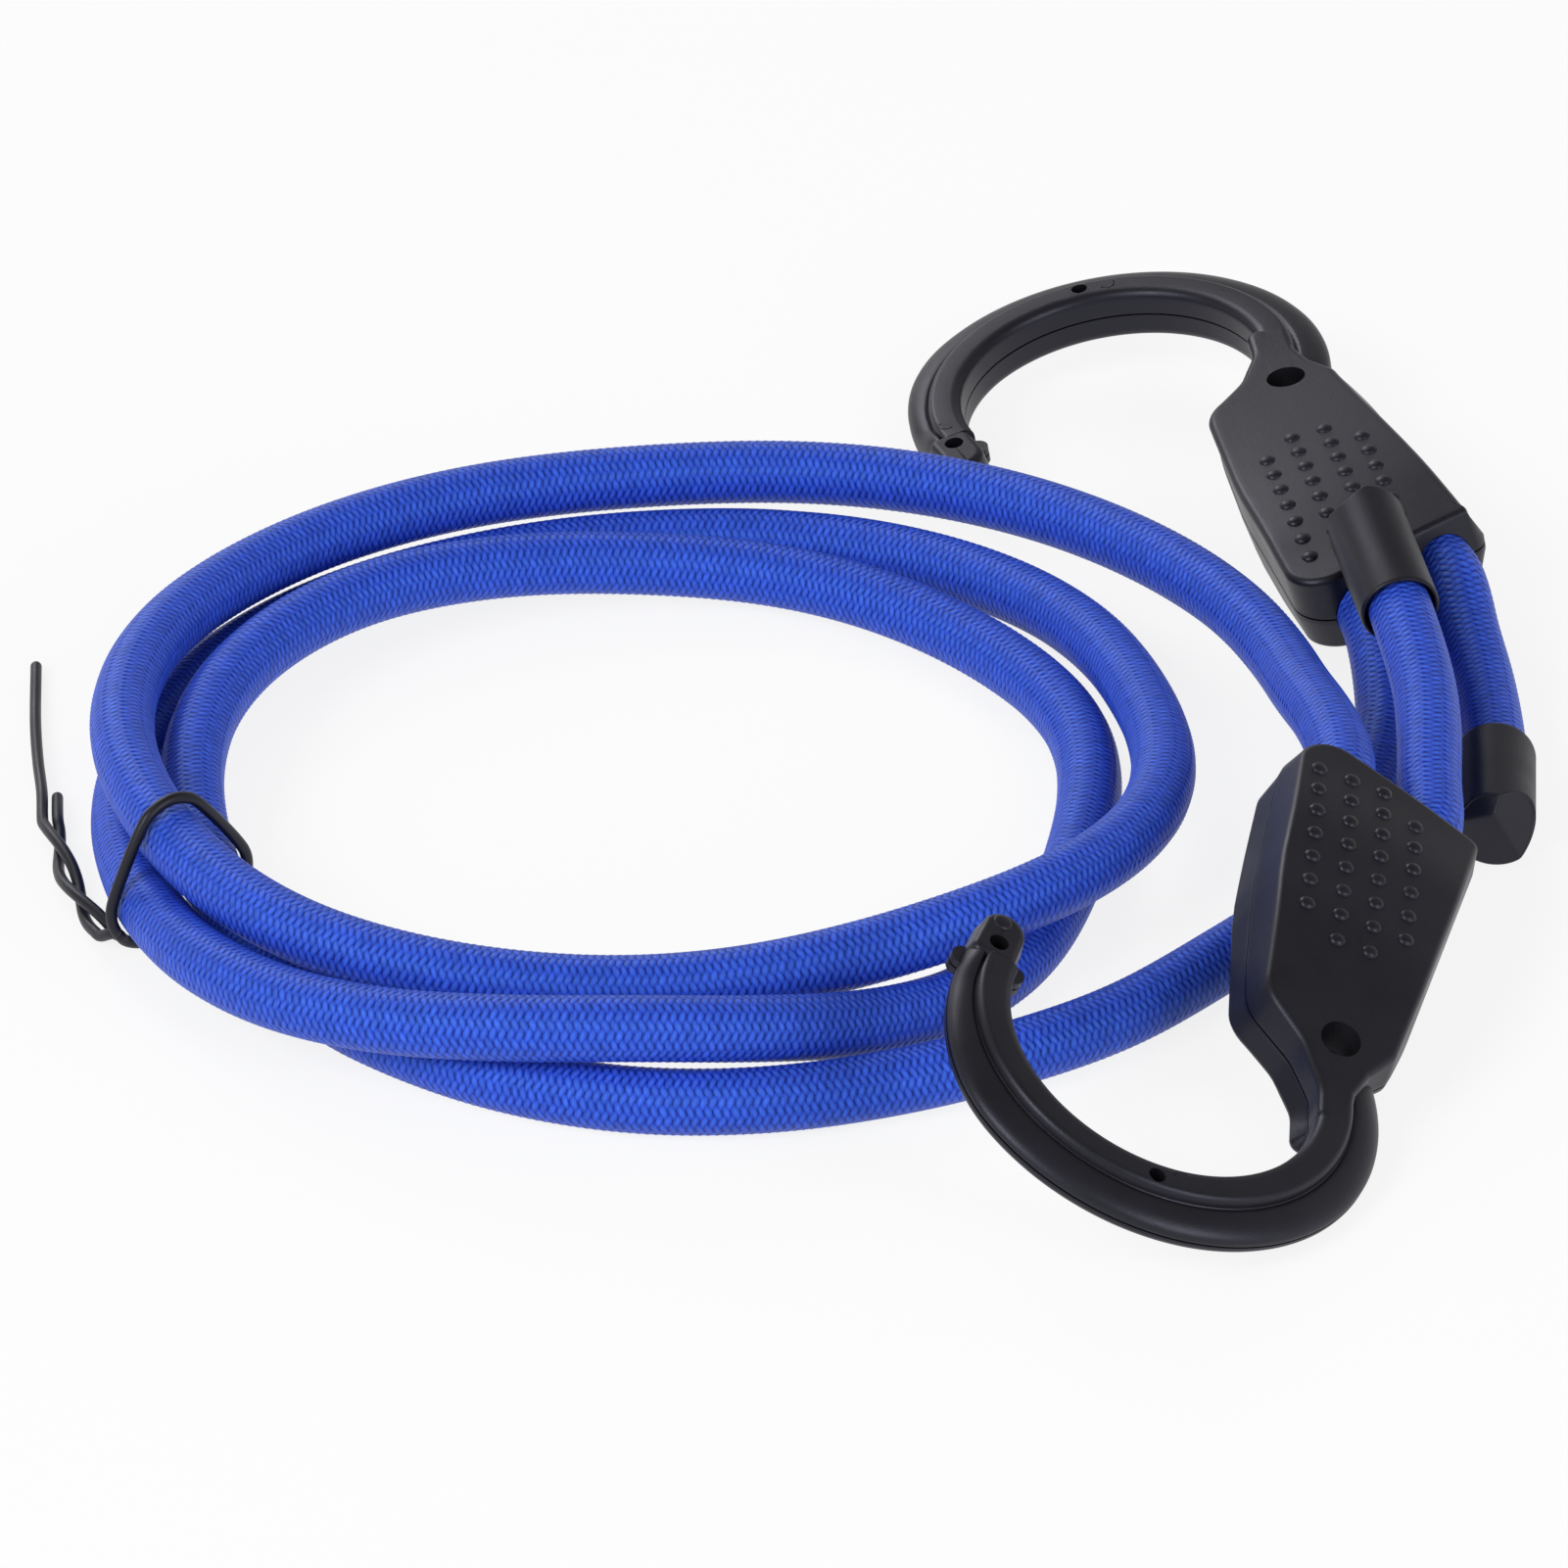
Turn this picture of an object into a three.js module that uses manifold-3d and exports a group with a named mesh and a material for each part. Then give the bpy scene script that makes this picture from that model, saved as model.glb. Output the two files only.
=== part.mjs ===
import * as THREE from "three";
import { mergeVertices } from "three/addons/utils/BufferGeometryUtils.js";
import Module from "manifold-3d";

// A travel clothesline: one stretchy braided cord, wound in three turns and held by a wire tie.
// A flat plastic hook sits near each end of the cord. The cord enters the wide end of a hook,
// turns round a pin inside it and leaves beside itself as a short tail with a plastic end cap.
// Lengths are in millimetres and angles in degrees. Z is up, and everything lies on z = 0.
// The origin is below the middle of the box round both hooks.

const wasm = await Module();
wasm.setup();

// Sizes shared by the whole part
const clearance = 0.3;
const fullTurn = 360;

// Sizes of the cord
const cordDiameter = 9.9;
const rubberDiameter = 6.2;
const rubberClearance = 0.4;
const cordSides = 8;
const rubberSides = 6;
const cordRadius = cordDiameter / 2;
const rubberRadius = rubberDiameter / 2;
const boreRadius = rubberRadius + rubberClearance;
const floorHeight = 4.7;

// Where the coil lies, and how its radius and height run round the three turns
const coilCentre = [-85, 11.5];
const stationDegrees = 30;
const stepsPerStation = 3;
const coilRadii = [
  98.5, 85.5, 76, 66.5, 64.5, 68.5, 76.5, 85.5, 94, 92.5, 91, 88,
  76, 70, 64.5, 58, 57.5, 63.5, 74, 88, 105, 107, 95.5, 76.5,
  66.5, 56.5, 50.5, 46.5, 48, 54.5, 64.5, 76.5, 94, 109, 111, 112.5,
];
const coilHeights = [
  16, 14, 12, 12, 13, 14, 16, 17.5, 16, 14, 16, 14,
  11, 7.5, 5.2, 4.7, 4.7, 4.7, 4.7, 6.5, 11.5, 16, 6, 4.7,
  4.7, 5.2, 6, 7.5, 9.5, 11, 10.5, 8.5, 5.2, 4.7, 4.7, 4.7,
];
const coilSteps = 103;
const selfGapSkip = 10;
const selfGapLeast = 0.4;

// Where the two hooks lie: turn about Z, then pitch, then roll
const frontHook = { place: [16.05, -94.46, 9.35], turn: 72.25, pitch: -5.28, roll: 24.98 };
const rearHook = { place: [17.24, 98.01, 14.3], turn: -66.62, pitch: -0.1, roll: 190.49 };

// Outline of a hook's body, as corners with their rounding, in the hook's own plane.
// The hook's own origin is the middle of the neck hole, and its X runs to the wide end.
const bodyCorners = [
  [2.4, -8.6, 4],
  [55.4, -6.5, 1.5],
  [60.8, 24.8, 5.5],
  [27, 19.6, 60],
  [2.4, 13.4, 4],
  [-3.6, 4.9, 10],
  [-10, -0.2, 8],
  [-16, -1.9, 1],
  [-15.6, -7, 1],
  [-8, -5.6, 1],
  [-3.2, -6.3, 2],
];
const outlineSpacing = 6.5;
const arcDegrees = 25;

// Sizes of the body
const seamGap = 0.3;
const lipHeight = 1;
const wallDraft = 1.15;
const draftStart = -9;
const draftFull = 12;
const edgeRound = 1;
const edgeShoulderShare = 0.3;
const domeHalf = 8.3;
const domeStart = -3;
const domeFull = 24;
const fallStart = 38;
const fallEnd = 60;
const endFall = 2;
const tailSideFall = 0.2;
const tailSide = -6;
const bodyWidth = 28;
const crownDrop = 0.5;
const crownCentre = [27, 6.5];
const crownSlope = 0.13;
const crownShares = [0.5, 0.9];

// Sizes of the ring of a hook
const ringCentre = [-19.1, 22.1];
const ringInner = 24.2;
const landInner = 25;
const landOuter = 29.4;
const landHalf = 4.4;
const neckHalf = landHalf;
const landEdge = 0.5;
const stepOuter = 30.6;
const flangeHalf = 2.4;
const flangeOuter = 34.8;
const flangeEdge = 0.8;
const ringSegments = 48;
const ringCut = [[-20, 35], [-20, 70], [45, 70], [45, 9], [-1, 9]];
const knobCorners = [
  [-23, 47.8, 1.3],
  [-11.5, 47.8, 3.6],
  [-11.5, 55.5, 3.6],
  [-23, 55.5, 1.3],
];
const lugSpots = [[-23, 56.3], [-23, 47]];
const lugRadius = 1.9;
const lugHalf = 0.9;

// Holes of a hook
const neckHoleRadius = 3.1;
const pinHoleRadius = 1.2;
const pinHoleFloor = 1;
const pinHoleSpots = [[-45.7, 15.4], [-17.2, 50.7]];
const roundSides = 10;
const cutOverrun = 12;
const cutHeight = 2 * (domeHalf + cutOverrun);

// Raised dots that give the fingers grip: rows of them along the body
const dotPitch = 5;
const dotSlope = 0.235;
const dotRadius = 1.15;
const dotTopRadius = 0.6;
const dotHeight = 0.5;
const dotRoot = 1;
const dotSides = 4;
const dotStarts = [[21.8, 13.6], [18, 7.5], [19.2, 2.5], [25.3, -1.4]];
const dotCounts = [7, 8, 8, 6];

// The cord's way through a hook: in at the main mouth, round the pin, out at the tail mouth
const mouthMain = 15.5;
const mouthTail = 1;
const bendCentre = 48;
const bendCordRadius = 4.6;
const bendChannelRadius = 5.1;
const bendSteps = 6;
const bendFromDegrees = 90;
const bendToDegrees = 270;
const bendStraight = 0.7;
const bendReach = bendCentre + bendStraight;
const mouthStart = bendReach + clearance;
const mouthStraight = 11.5;
const mouthTip = mouthStart + mouthStraight;
const mouthOuter = mouthTip + cutOverrun;
const mouthRadius = 5.5;
const pinRadius = 1.3;
const pinHalf = 6.6;

// The steel wire that stiffens the ring
const wireRadius = 1.2;
const wireRing = 27.4;
const wireFromDegrees = 98;
const wireToDegrees = 296;
const wireSteps = 16;
const wireSides = 6;

// Sizes of an end cap
const capLength = 24;
const capRadius = 6.2;
const capBoreRadius = 5.5;
const capBoreDepth = 16.5;
const capRim = 0.4;
const capSides = 20;
const capEndGap = 0.7;
const facetReach = 4 * capRadius;
const facetTipSide = 0.3;
const facetTipRise = 3.8;
const facetTurnDegrees = [287, 160, 67];
const facetSlopeDegrees = [12, 52, 50];

// Where the two caps lie: middle of the open end, middle of the closed end, and turn on its axis
const frontCap = { open: [31.3, 19, 21.2], closed: [26.1, 42.1, 25.4], roll: 68 };
const rearCap = { open: [45.3, -0.1, 6.3], closed: [44.1, -23.9, 6.3], roll: 0 };
const cordInCap = capBoreDepth - capEndGap;

// Hand laid points of the four short strands, between their straight ends
const frontLeadPoints = [[19.1, -15.2, 20.4], [15.4, 1.3, 17.6]];
const rearLeadPoints = [
  [2.4, -57.3, 4.7],
  [10.1, -48.3, 4.7],
  [17.1, -37.1, 4.7],
  [23.3, -20.1, 4.7],
  [27.9, -0.7, 4.8],
  [29.5, 13.3, 6.4],
];
const frontTailPoints = [[33.9, -25.1, 16.4], [34.4, -12.7, 17.5], [34.1, 0.1, 18.6]];
const rearTailPoints = [[42.6, 30.4, 10.2], [44.4, 18.8, 7.6]];
const strandSteps = 2;
const strandEnd = 9;

// The wire tie round the three strands, and its twisted ends
const tieRadius = 0.9;
const tieSlack = 0.7;
const tieStation = 7.27;
const tieSides = 6;
const tieSteps = 100;
const tieLoopSteps = 20;
const tieLoopStart = -30;
const tieTwists = 3;
const tieTwistSteps = 18;
const tieTwistRadius = 1.15;
const tieTwistPath = [
  [-165.1, -45.7, 2.3],
  [-169.5, -36.2, 2.3],
  [-173.1, -22.7, 2.3],
  [-175.1, -9.7, 2.3],
];
const tieShortEnd = [[-173.7, -5.3, 1.9]];
const tieLongEnd = [[-176.5, -2.2, 2], [-177.9, 13.7, 1.6], [-179.1, 35.5, 1.2]];

// Finishes of the materials
const finishes = {
  braid: { color: 0x1f4fc4, roughness: 0.62, metalness: 0 },
  rubber: { color: 0xd9d2c0, roughness: 0.8, metalness: 0 },
  hook: { color: 0x26272b, roughness: 0.5, metalness: 0 },
  cap: { color: 0x202124, roughness: 0.55, metalness: 0 },
  tie: { color: 0x1b1c1e, roughness: 0.5, metalness: 0 },
  steel: { color: 0x9a9da1, roughness: 0.35, metalness: 1 },
};

// Small helpers

function radians(degrees) {
  return THREE.MathUtils.degToRad(degrees);
}

function point(list) {
  return new THREE.Vector3(list[0], list[1], list[2]);
}

function solidFrom(geometry) {
  const plain = geometry.index ? geometry.toNonIndexed() : geometry.clone();
  plain.deleteAttribute("normal");
  plain.deleteAttribute("uv");
  const merged = mergeVertices(plain);
  return new wasm.Manifold(
    new wasm.Mesh({
      numProp: 3,
      vertProperties: merged.attributes.position.array,
      triVerts: new Uint32Array(merged.index.array),
    }),
  );
}

function geometryFrom(solid) {
  const made = solid.getMesh();
  return new THREE.BufferGeometry()
    .setAttribute("position", new THREE.BufferAttribute(made.vertProperties, made.numProp))
    .setIndex(new THREE.BufferAttribute(made.triVerts, 1));
}

function closedSurface(positions, faces) {
  return new THREE.BufferGeometry()
    .setAttribute("position", new THREE.Float32BufferAttribute(positions, 3))
    .setIndex(faces);
}

function namedMesh(name, geometry, finish) {
  const flat = geometry.index ? geometry.toNonIndexed() : geometry;
  flat.computeVertexNormals();
  const mesh = new THREE.Mesh(flat, new THREE.MeshStandardMaterial(finishes[finish]));
  mesh.name = name;
  return mesh;
}

// A cylinder that stands on its own XY plane, from one height to another
function standingCylinder(radius, from, to, sides) {
  return new THREE.CylinderGeometry(radius, radius, to - from, sides)
    .rotateX(Math.PI / 2)
    .translate(0, 0, (from + to) / 2);
}

// The way a line of points runs at one of them
function heading(centres, index) {
  const before = centres[Math.max(index - 1, 0)];
  const after = centres[Math.min(index + 1, centres.length - 1)];
  return after.clone().sub(before).normalize();
}

// Tubes

// One ring of points round a centre, with a flat side turned down
function tubeRing(centre, along, radius, sides) {
  const side = along.clone().cross(new THREE.Vector3(0, 0, 1)).normalize();
  const top = side.clone().cross(along);
  const ring = [];
  for (let k = 0; k < sides; k++) {
    const angle = (2 * Math.PI * (k + 1 / 2)) / sides;
    ring.push(
      centre
        .clone()
        .addScaledVector(side, radius * Math.cos(angle))
        .addScaledVector(top, radius * Math.sin(angle)),
    );
  }
  return ring;
}

// A tube along a line of points, with square ends. A bore of zero makes it solid.
function tube(centres, radius, bore, sides) {
  const positions = [];
  const faces = [];
  const last = centres.length - 1;
  const addWall = (wallRadius, inward) => {
    const start = positions.length / 3;
    centres.forEach((centre, i) => {
      const ring = tubeRing(centre, heading(centres, i), wallRadius, sides);
      ring.forEach((p) => positions.push(p.x, p.y, p.z));
    });
    for (let i = 0; i < last; i++) {
      for (let k = 0; k < sides; k++) {
        const a = start + i * sides + k;
        const b = start + i * sides + ((k + 1) % sides);
        const c = a + sides;
        const d = b + sides;
        if (inward) faces.push(a, b, c, b, d, c);
        else faces.push(a, c, b, b, c, d);
      }
    }
    return start;
  };
  const outer = addWall(radius, false);
  const outerEnd = outer + last * sides;
  if (bore > 0) {
    const inner = addWall(bore, true);
    const innerEnd = inner + last * sides;
    for (let k = 0; k < sides; k++) {
      const n = (k + 1) % sides;
      faces.push(outer + k, outer + n, inner + n, outer + k, inner + n, inner + k);
      faces.push(outerEnd + k, innerEnd + n, outerEnd + n, outerEnd + k, innerEnd + k, innerEnd + n);
    }
  } else {
    for (let k = 1; k < sides - 1; k++) {
      faces.push(outer, outer + k, outer + k + 1);
      faces.push(outerEnd, outerEnd + k + 1, outerEnd + k);
    }
  }
  return closedSurface(positions, faces);
}

// A strand's line of points: straight at both ends, and a smooth curve between them
function strandLine(ends) {
  const controls = ends.map(point);
  const curve = new THREE.CatmullRomCurve3(controls, false, "centripetal");
  const spans = controls.length - 1;
  const line = [controls[0]];
  for (let i = strandSteps; i <= (spans - 1) * strandSteps; i++) {
    line.push(curve.getPoint(i / (spans * strandSteps)));
  }
  line.push(controls[spans]);
  return line;
}

// The coil

// A value between the stations of a list, on a smooth curve through them
function alongStations(list, station) {
  const i = Math.min(Math.floor(station), list.length - 2);
  const slope = (k) => {
    const low = Math.max(k - 1, 0);
    const high = Math.min(k + 1, list.length - 1);
    return (list[high] - list[low]) / (high - low);
  };
  const t = station - i;
  const rise = t * t * (3 - 2 * t);
  const leave = t * (1 - t) * (1 - t);
  const arrive = t * t * (t - 1);
  return list[i] * (1 - rise) + list[i + 1] * rise + slope(i) * leave + slope(i + 1) * arrive;
}

function coilPoint(station) {
  const angle = radians(station * stationDegrees);
  const radius = alongStations(coilRadii, station);
  const height = Math.max(alongStations(coilHeights, station), floorHeight);
  return [
    coilCentre[0] + radius * Math.cos(angle),
    coilCentre[1] + radius * Math.sin(angle),
    height,
  ];
}

function coilLine() {
  const line = [];
  for (let i = 0; i <= coilSteps; i++) {
    line.push(point(coilPoint(i / stepsPerStation)));
  }
  return line;
}

// The least gap between strands of the coil that aren't neighbours along it
function leastSelfGap(line) {
  let least = Infinity;
  for (let i = 0; i < line.length - 1; i++) {
    for (let j = i + selfGapSkip; j < line.length - 1; j++) {
      const a = new THREE.Line3(line[i], line[i + 1]);
      const b = new THREE.Line3(line[j], line[j + 1]);
      const near = new THREE.Vector3();
      [line[i], line[i + 1], a.getCenter(new THREE.Vector3())].forEach((p) => {
        b.closestPointToPoint(p, true, near);
        least = Math.min(least, near.distanceTo(p));
      });
    }
  }
  return least - cordDiameter;
}

// The hooks

// The matrix that takes a hook's own frame to where it lies
function hookMatrix(hook) {
  const turned = new THREE.Matrix4().makeRotationZ(radians(hook.turn));
  turned.multiply(new THREE.Matrix4().makeRotationY(radians(hook.pitch)));
  turned.multiply(new THREE.Matrix4().makeRotationX(radians(hook.roll)));
  return turned.setPosition(point(hook.place));
}

function onHook(hook, u, v) {
  const placed = new THREE.Vector3(u, v, 0).applyMatrix4(hookMatrix(hook));
  return placed.toArray();
}

// Points of a closed outline from corners with a rounding each, anticlockwise
function roundedOutline(corners) {
  const outline = [];
  const count = corners.length;
  corners.forEach(([u, v, rounding], i) => {
    const here = new THREE.Vector2(u, v);
    const [pu, pv] = corners[(i + count - 1) % count];
    const [nu, nv] = corners[(i + 1) % count];
    const back = new THREE.Vector2(pu, pv).sub(here).normalize();
    const ahead = new THREE.Vector2(nu, nv).sub(here).normalize();
    const half = Math.acos(THREE.MathUtils.clamp(back.dot(ahead), -1, 1)) / 2;
    const tangent = rounding / Math.tan(half);
    const middle = back.clone().add(ahead).normalize().multiplyScalar(rounding / Math.sin(half));
    const arcCentre = here.clone().add(middle);
    const from = here.clone().addScaledVector(back, tangent).sub(arcCentre);
    const to = here.clone().addScaledVector(ahead, tangent).sub(arcCentre);
    const turn = Math.atan2(from.cross(to), from.dot(to));
    const steps = Math.max(1, Math.round(Math.abs(turn) / radians(arcDegrees)));
    for (let k = 0; k <= steps; k++) {
      outline.push(from.clone().rotateAround(new THREE.Vector2(), (turn * k) / steps).add(arcCentre));
    }
  });
  return evenOutline(outline);
}

// The same outline with its long edges cut into shorter ones
function evenOutline(outline) {
  const even = [];
  outline.forEach((here, i) => {
    const next = outline[(i + 1) % outline.length];
    const pieces = Math.max(1, Math.round(here.distanceTo(next) / outlineSpacing));
    for (let k = 0; k < pieces; k++) {
      even.push(here.clone().lerp(next, k / pieces));
    }
  });
  return even;
}

// Which way is outward at a point of an anticlockwise outline
function outward(outline, index) {
  const before = outline[(index + outline.length - 1) % outline.length];
  const after = outline[(index + 1) % outline.length];
  const along = after.clone().sub(before).normalize();
  return new THREE.Vector2(along.y, -along.x);
}

// How far the walls of a body lean out at the seam: not at all at the neck
function bodyDraft(u) {
  return wallDraft * THREE.MathUtils.smoothstep(u, draftStart, draftFull);
}

// A thick plate above the seam: leaning walls, rounded top edge, and a top face of any height.
// The top face has further rows of points at the given shares of the way to its centre.
function plate(outline, topAt, draftAt, centre, shares) {
  const rows = [];
  const addRow = (spotOf, heightOf) => {
    rows.push(
      outline.map((p, i) => {
        const spot = spotOf(p, outward(outline, i));
        return [spot.x, spot.y, heightOf(topAt(spot.x, spot.y))];
      }),
    );
  };
  const shifted = (offset) => (p, out) => p.clone().addScaledVector(out, offset);
  const leaning = (p, out) => p.clone().addScaledVector(out, draftAt(p.x));
  addRow(leaning, () => seamGap / 2);
  addRow(leaning, () => lipHeight);
  addRow(shifted(0), (top) => top - edgeRound);
  addRow(shifted(-edgeRound * edgeShoulderShare), (top) => top - edgeRound * edgeShoulderShare);
  addRow(shifted(-edgeRound), (top) => top);
  shares.forEach((share) => {
    const inner = (p, out) => shifted(-edgeRound)(p, out).lerp(new THREE.Vector2(...centre), share);
    addRow(inner, (top) => top);
  });
  return rowsSurface(rows);
}

// The closed surface through rows of points, with flat lids on the first and last row
function rowsSurface(rows) {
  const width = rows[0].length;
  const faces = [];
  for (let r = 0; r < rows.length - 1; r++) {
    for (let k = 0; k < width; k++) {
      const a = r * width + k;
      const b = r * width + ((k + 1) % width);
      faces.push(a, b, b + width, a, b + width, a + width);
    }
  }
  const lid = (row) => THREE.ShapeUtils.triangulateShape(
    row.map(([x, y]) => new THREE.Vector2(x, y)),
    [],
  );
  const top = (rows.length - 1) * width;
  lid(rows[0]).forEach(([a, b, c]) => faces.push(a, c, b));
  lid(rows[rows.length - 1]).forEach(([a, b, c]) => faces.push(top + a, top + b, top + c));
  return closedSurface(rows.flat(2), faces);
}

// Half the thickness of the body: thin at the neck, domed, and lower towards the wide end
function bodyTop(u, v) {
  const rise = THREE.MathUtils.smoothstep(u, domeStart, domeFull);
  const fall = THREE.MathUtils.smoothstep(u, fallStart, fallEnd);
  const toTail = THREE.MathUtils.clamp(1 - (v - tailSide) / bodyWidth, 0, 1);
  const middle = crownCentre[1] + (u - crownCentre[0]) * crownSlope;
  const off = (v - middle) / (bodyWidth / 2);
  const dome = neckHalf + (domeHalf - neckHalf) * rise;
  return dome - fall * (endFall + tailSideFall * toTail) - crownDrop * rise * off * off;
}

// The upper half of the ring: a thick land inside and a thin flange outside
function ringSolid() {
  const seam = seamGap / 2;
  const profile = [
    [ringInner, seam],
    [flangeOuter, seam],
    [flangeOuter, flangeHalf - flangeEdge],
    [flangeOuter - flangeEdge, flangeHalf],
    [stepOuter, flangeHalf],
    [landOuter + landEdge, landHalf - landEdge],
    [landOuter, landHalf],
    [landInner, landHalf],
    [landInner - landEdge, landHalf - landEdge],
    [ringInner, seam],
  ];
  const turned = new THREE.LatheGeometry(
    profile.map(([r, h]) => new THREE.Vector2(r, h)),
    ringSegments,
  );
  turned.rotateX(Math.PI / 2).translate(ringCentre[0], ringCentre[1], 0);
  const gap = new THREE.Shape(ringCut.map(([u, v]) => new THREE.Vector2(u, v)));
  const cutter = new THREE.ExtrudeGeometry(gap, { depth: cutHeight, bevelEnabled: false });
  return solidFrom(turned).subtract(solidFrom(cutter.translate(0, 0, -cutHeight / 2)));
}

// The points of an arc in the hook's plane
function planeArc(centre, radius, fromDegrees, toDegrees, steps) {
  const arc = [];
  for (let i = 0; i <= steps; i++) {
    const angle = radians(fromDegrees + ((toDegrees - fromDegrees) * i) / steps);
    arc.push(point([centre[0] + radius * Math.cos(angle), centre[1] + radius * Math.sin(angle), 0]));
  }
  return arc;
}

// The cord's line through a hook, in the hook's own frame
function bendLine() {
  const radius = (mouthMain - mouthTail) / 2;
  const centre = [bendCentre, mouthTail + radius];
  const line = [point([bendReach, mouthMain, 0])];
  line.push(...planeArc(centre, radius, bendFromDegrees, bendToDegrees, bendSteps));
  line.push(point([bendReach, mouthTail, 0]));
  return line;
}

function mouthCutter(v) {
  const line = [point([bendReach, v, 0]), point([mouthOuter, v, 0])];
  return solidFrom(tube(line, mouthRadius, 0, roundSides));
}

// All the grip dots of one face
function gripDots() {
  const dots = [];
  dotStarts.forEach((start, row) => {
    for (let i = 0; i < dotCounts[row]; i++) {
      const u = start[0] + i * dotPitch;
      const v = start[1] + i * dotPitch * dotSlope;
      const height = dotHeight + dotRoot;
      const dot = new THREE.CylinderGeometry(dotTopRadius, dotRadius, height, dotSides);
      dot.rotateX(Math.PI / 2).translate(u, v, bodyTop(u, v) + (dotHeight - dotRoot) / 2);
      dots.push(solidFrom(dot));
    }
  });
  return dots;
}

// One half shell of a hook, above the seam
function hookShell() {
  const body = plate(roundedOutline(bodyCorners), bodyTop, bodyDraft, crownCentre, crownShares);
  const knob = plate(roundedOutline(knobCorners), () => landHalf, () => wallDraft, ringCentre, []);
  let shell = solidFrom(body);
  shell = shell.add(ringSolid()).add(solidFrom(knob));
  lugSpots.forEach(([u, v]) => {
    const lug = standingCylinder(lugRadius, seamGap / 2, lugHalf, roundSides);
    shell = shell.add(solidFrom(lug.translate(u, v, 0)));
  });
  gripDots().forEach((dot) => {
    shell = shell.add(dot);
  });
  shell = shell.subtract(solidFrom(standingCylinder(neckHoleRadius, -cutHeight, cutHeight, roundSides)));
  pinHoleSpots.forEach(([u, v]) => {
    const hole = standingCylinder(pinHoleRadius, pinHoleFloor, cutHeight, roundSides);
    shell = shell.subtract(solidFrom(hole.translate(u, v, 0)));
  });
  const wireGroove = tube(wireLine(clearance), wireRadius + clearance, 0, wireSides);
  shell = shell.subtract(solidFrom(wireGroove));
  shell = shell.subtract(solidFrom(tube(bendLine(), bendChannelRadius, 0, roundSides)));
  shell = shell.subtract(mouthCutter(mouthMain)).subtract(mouthCutter(mouthTail));
  const pinTop = pinHalf + clearance;
  const socket = standingCylinder(pinRadius + clearance, -pinTop, pinTop, roundSides);
  return shell.subtract(solidFrom(socket.translate(bendCentre, (mouthMain + mouthTail) / 2, 0)));
}

function wireLine(longer) {
  const extra = THREE.MathUtils.radToDeg(longer / wireRing);
  return planeArc(ringCentre, wireRing, wireFromDegrees - extra, wireToDegrees + extra, wireSteps);
}

// The pieces of one hook, placed where it lies
function hookPieces(name, hook, upperIsTop) {
  const matrix = hookMatrix(hook);
  const shell = geometryFrom(hookShell());
  const mirrored = mirroredShell(shell);
  const top = upperIsTop ? shell : mirrored;
  const bottom = upperIsTop ? mirrored : shell;
  const radius = (mouthMain - mouthTail) / 2;
  const pin = standingCylinder(pinRadius, -pinHalf, pinHalf, roundSides);
  pin.translate(bendCentre, mouthTail + radius, 0);
  return [
    namedMesh(name + "_hook_top_shell", top.clone().applyMatrix4(matrix), "hook"),
    namedMesh(name + "_hook_bottom_shell", bottom.clone().applyMatrix4(matrix), "hook"),
    namedMesh(name + "_hook_pin", pin.applyMatrix4(matrix), "steel"),
    namedMesh(
      name + "_hook_ring_wire",
      tube(wireLine(0), wireRadius, 0, wireSides).applyMatrix4(matrix),
      "steel",
    ),
    namedMesh(
      name + "_cord_bend",
      tube(bendLine(), bendCordRadius, 0, cordSides).applyMatrix4(matrix),
      "braid",
    ),
  ];
}

// The shell's mirror image below the seam, with its faces turned to point out again
function mirroredShell(shell) {
  const positions = Array.from(shell.attributes.position.array, (x, i) => (i % 3 === 2 ? -x : x));
  const old = shell.index.array;
  const faces = [];
  for (let i = 0; i < old.length; i += 3) faces.push(old[i], old[i + 2], old[i + 1]);
  return closedSurface(positions, faces);
}

// The strands outside the hooks

// The two points of a strand's straight end in a hook's mouth, from inside to outside
function mouthEnds(hook, v) {
  return [onHook(hook, mouthStart, v), onHook(hook, mouthTip, v)];
}

// The two points of a strand's straight end in a cap, from outside to inside
function capEnds(cap) {
  const open = point(cap.open);
  const axis = point(cap.closed).sub(open).normalize();
  const inside = open.clone().addScaledVector(axis, cordInCap);
  return [open.toArray(), inside.toArray()];
}

// The straight end where a strand meets an end of the coil, from the coil outwards
function coilEnds(station, direction) {
  const end = point(coilPoint(station));
  const near = point(coilPoint(station - direction / stepsPerStation));
  const axis = end.clone().sub(near).normalize();
  const first = end.clone().addScaledVector(axis, clearance);
  const second = first.clone().addScaledVector(axis, strandEnd);
  return [first.toArray(), second.toArray()];
}

function strandPieces(name, line) {
  return [
    namedMesh(name, tube(line, cordRadius, boreRadius, cordSides), "braid"),
    namedMesh(name + "_rubber", tube(line, rubberRadius, 0, rubberSides), "rubber"),
  ];
}

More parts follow.
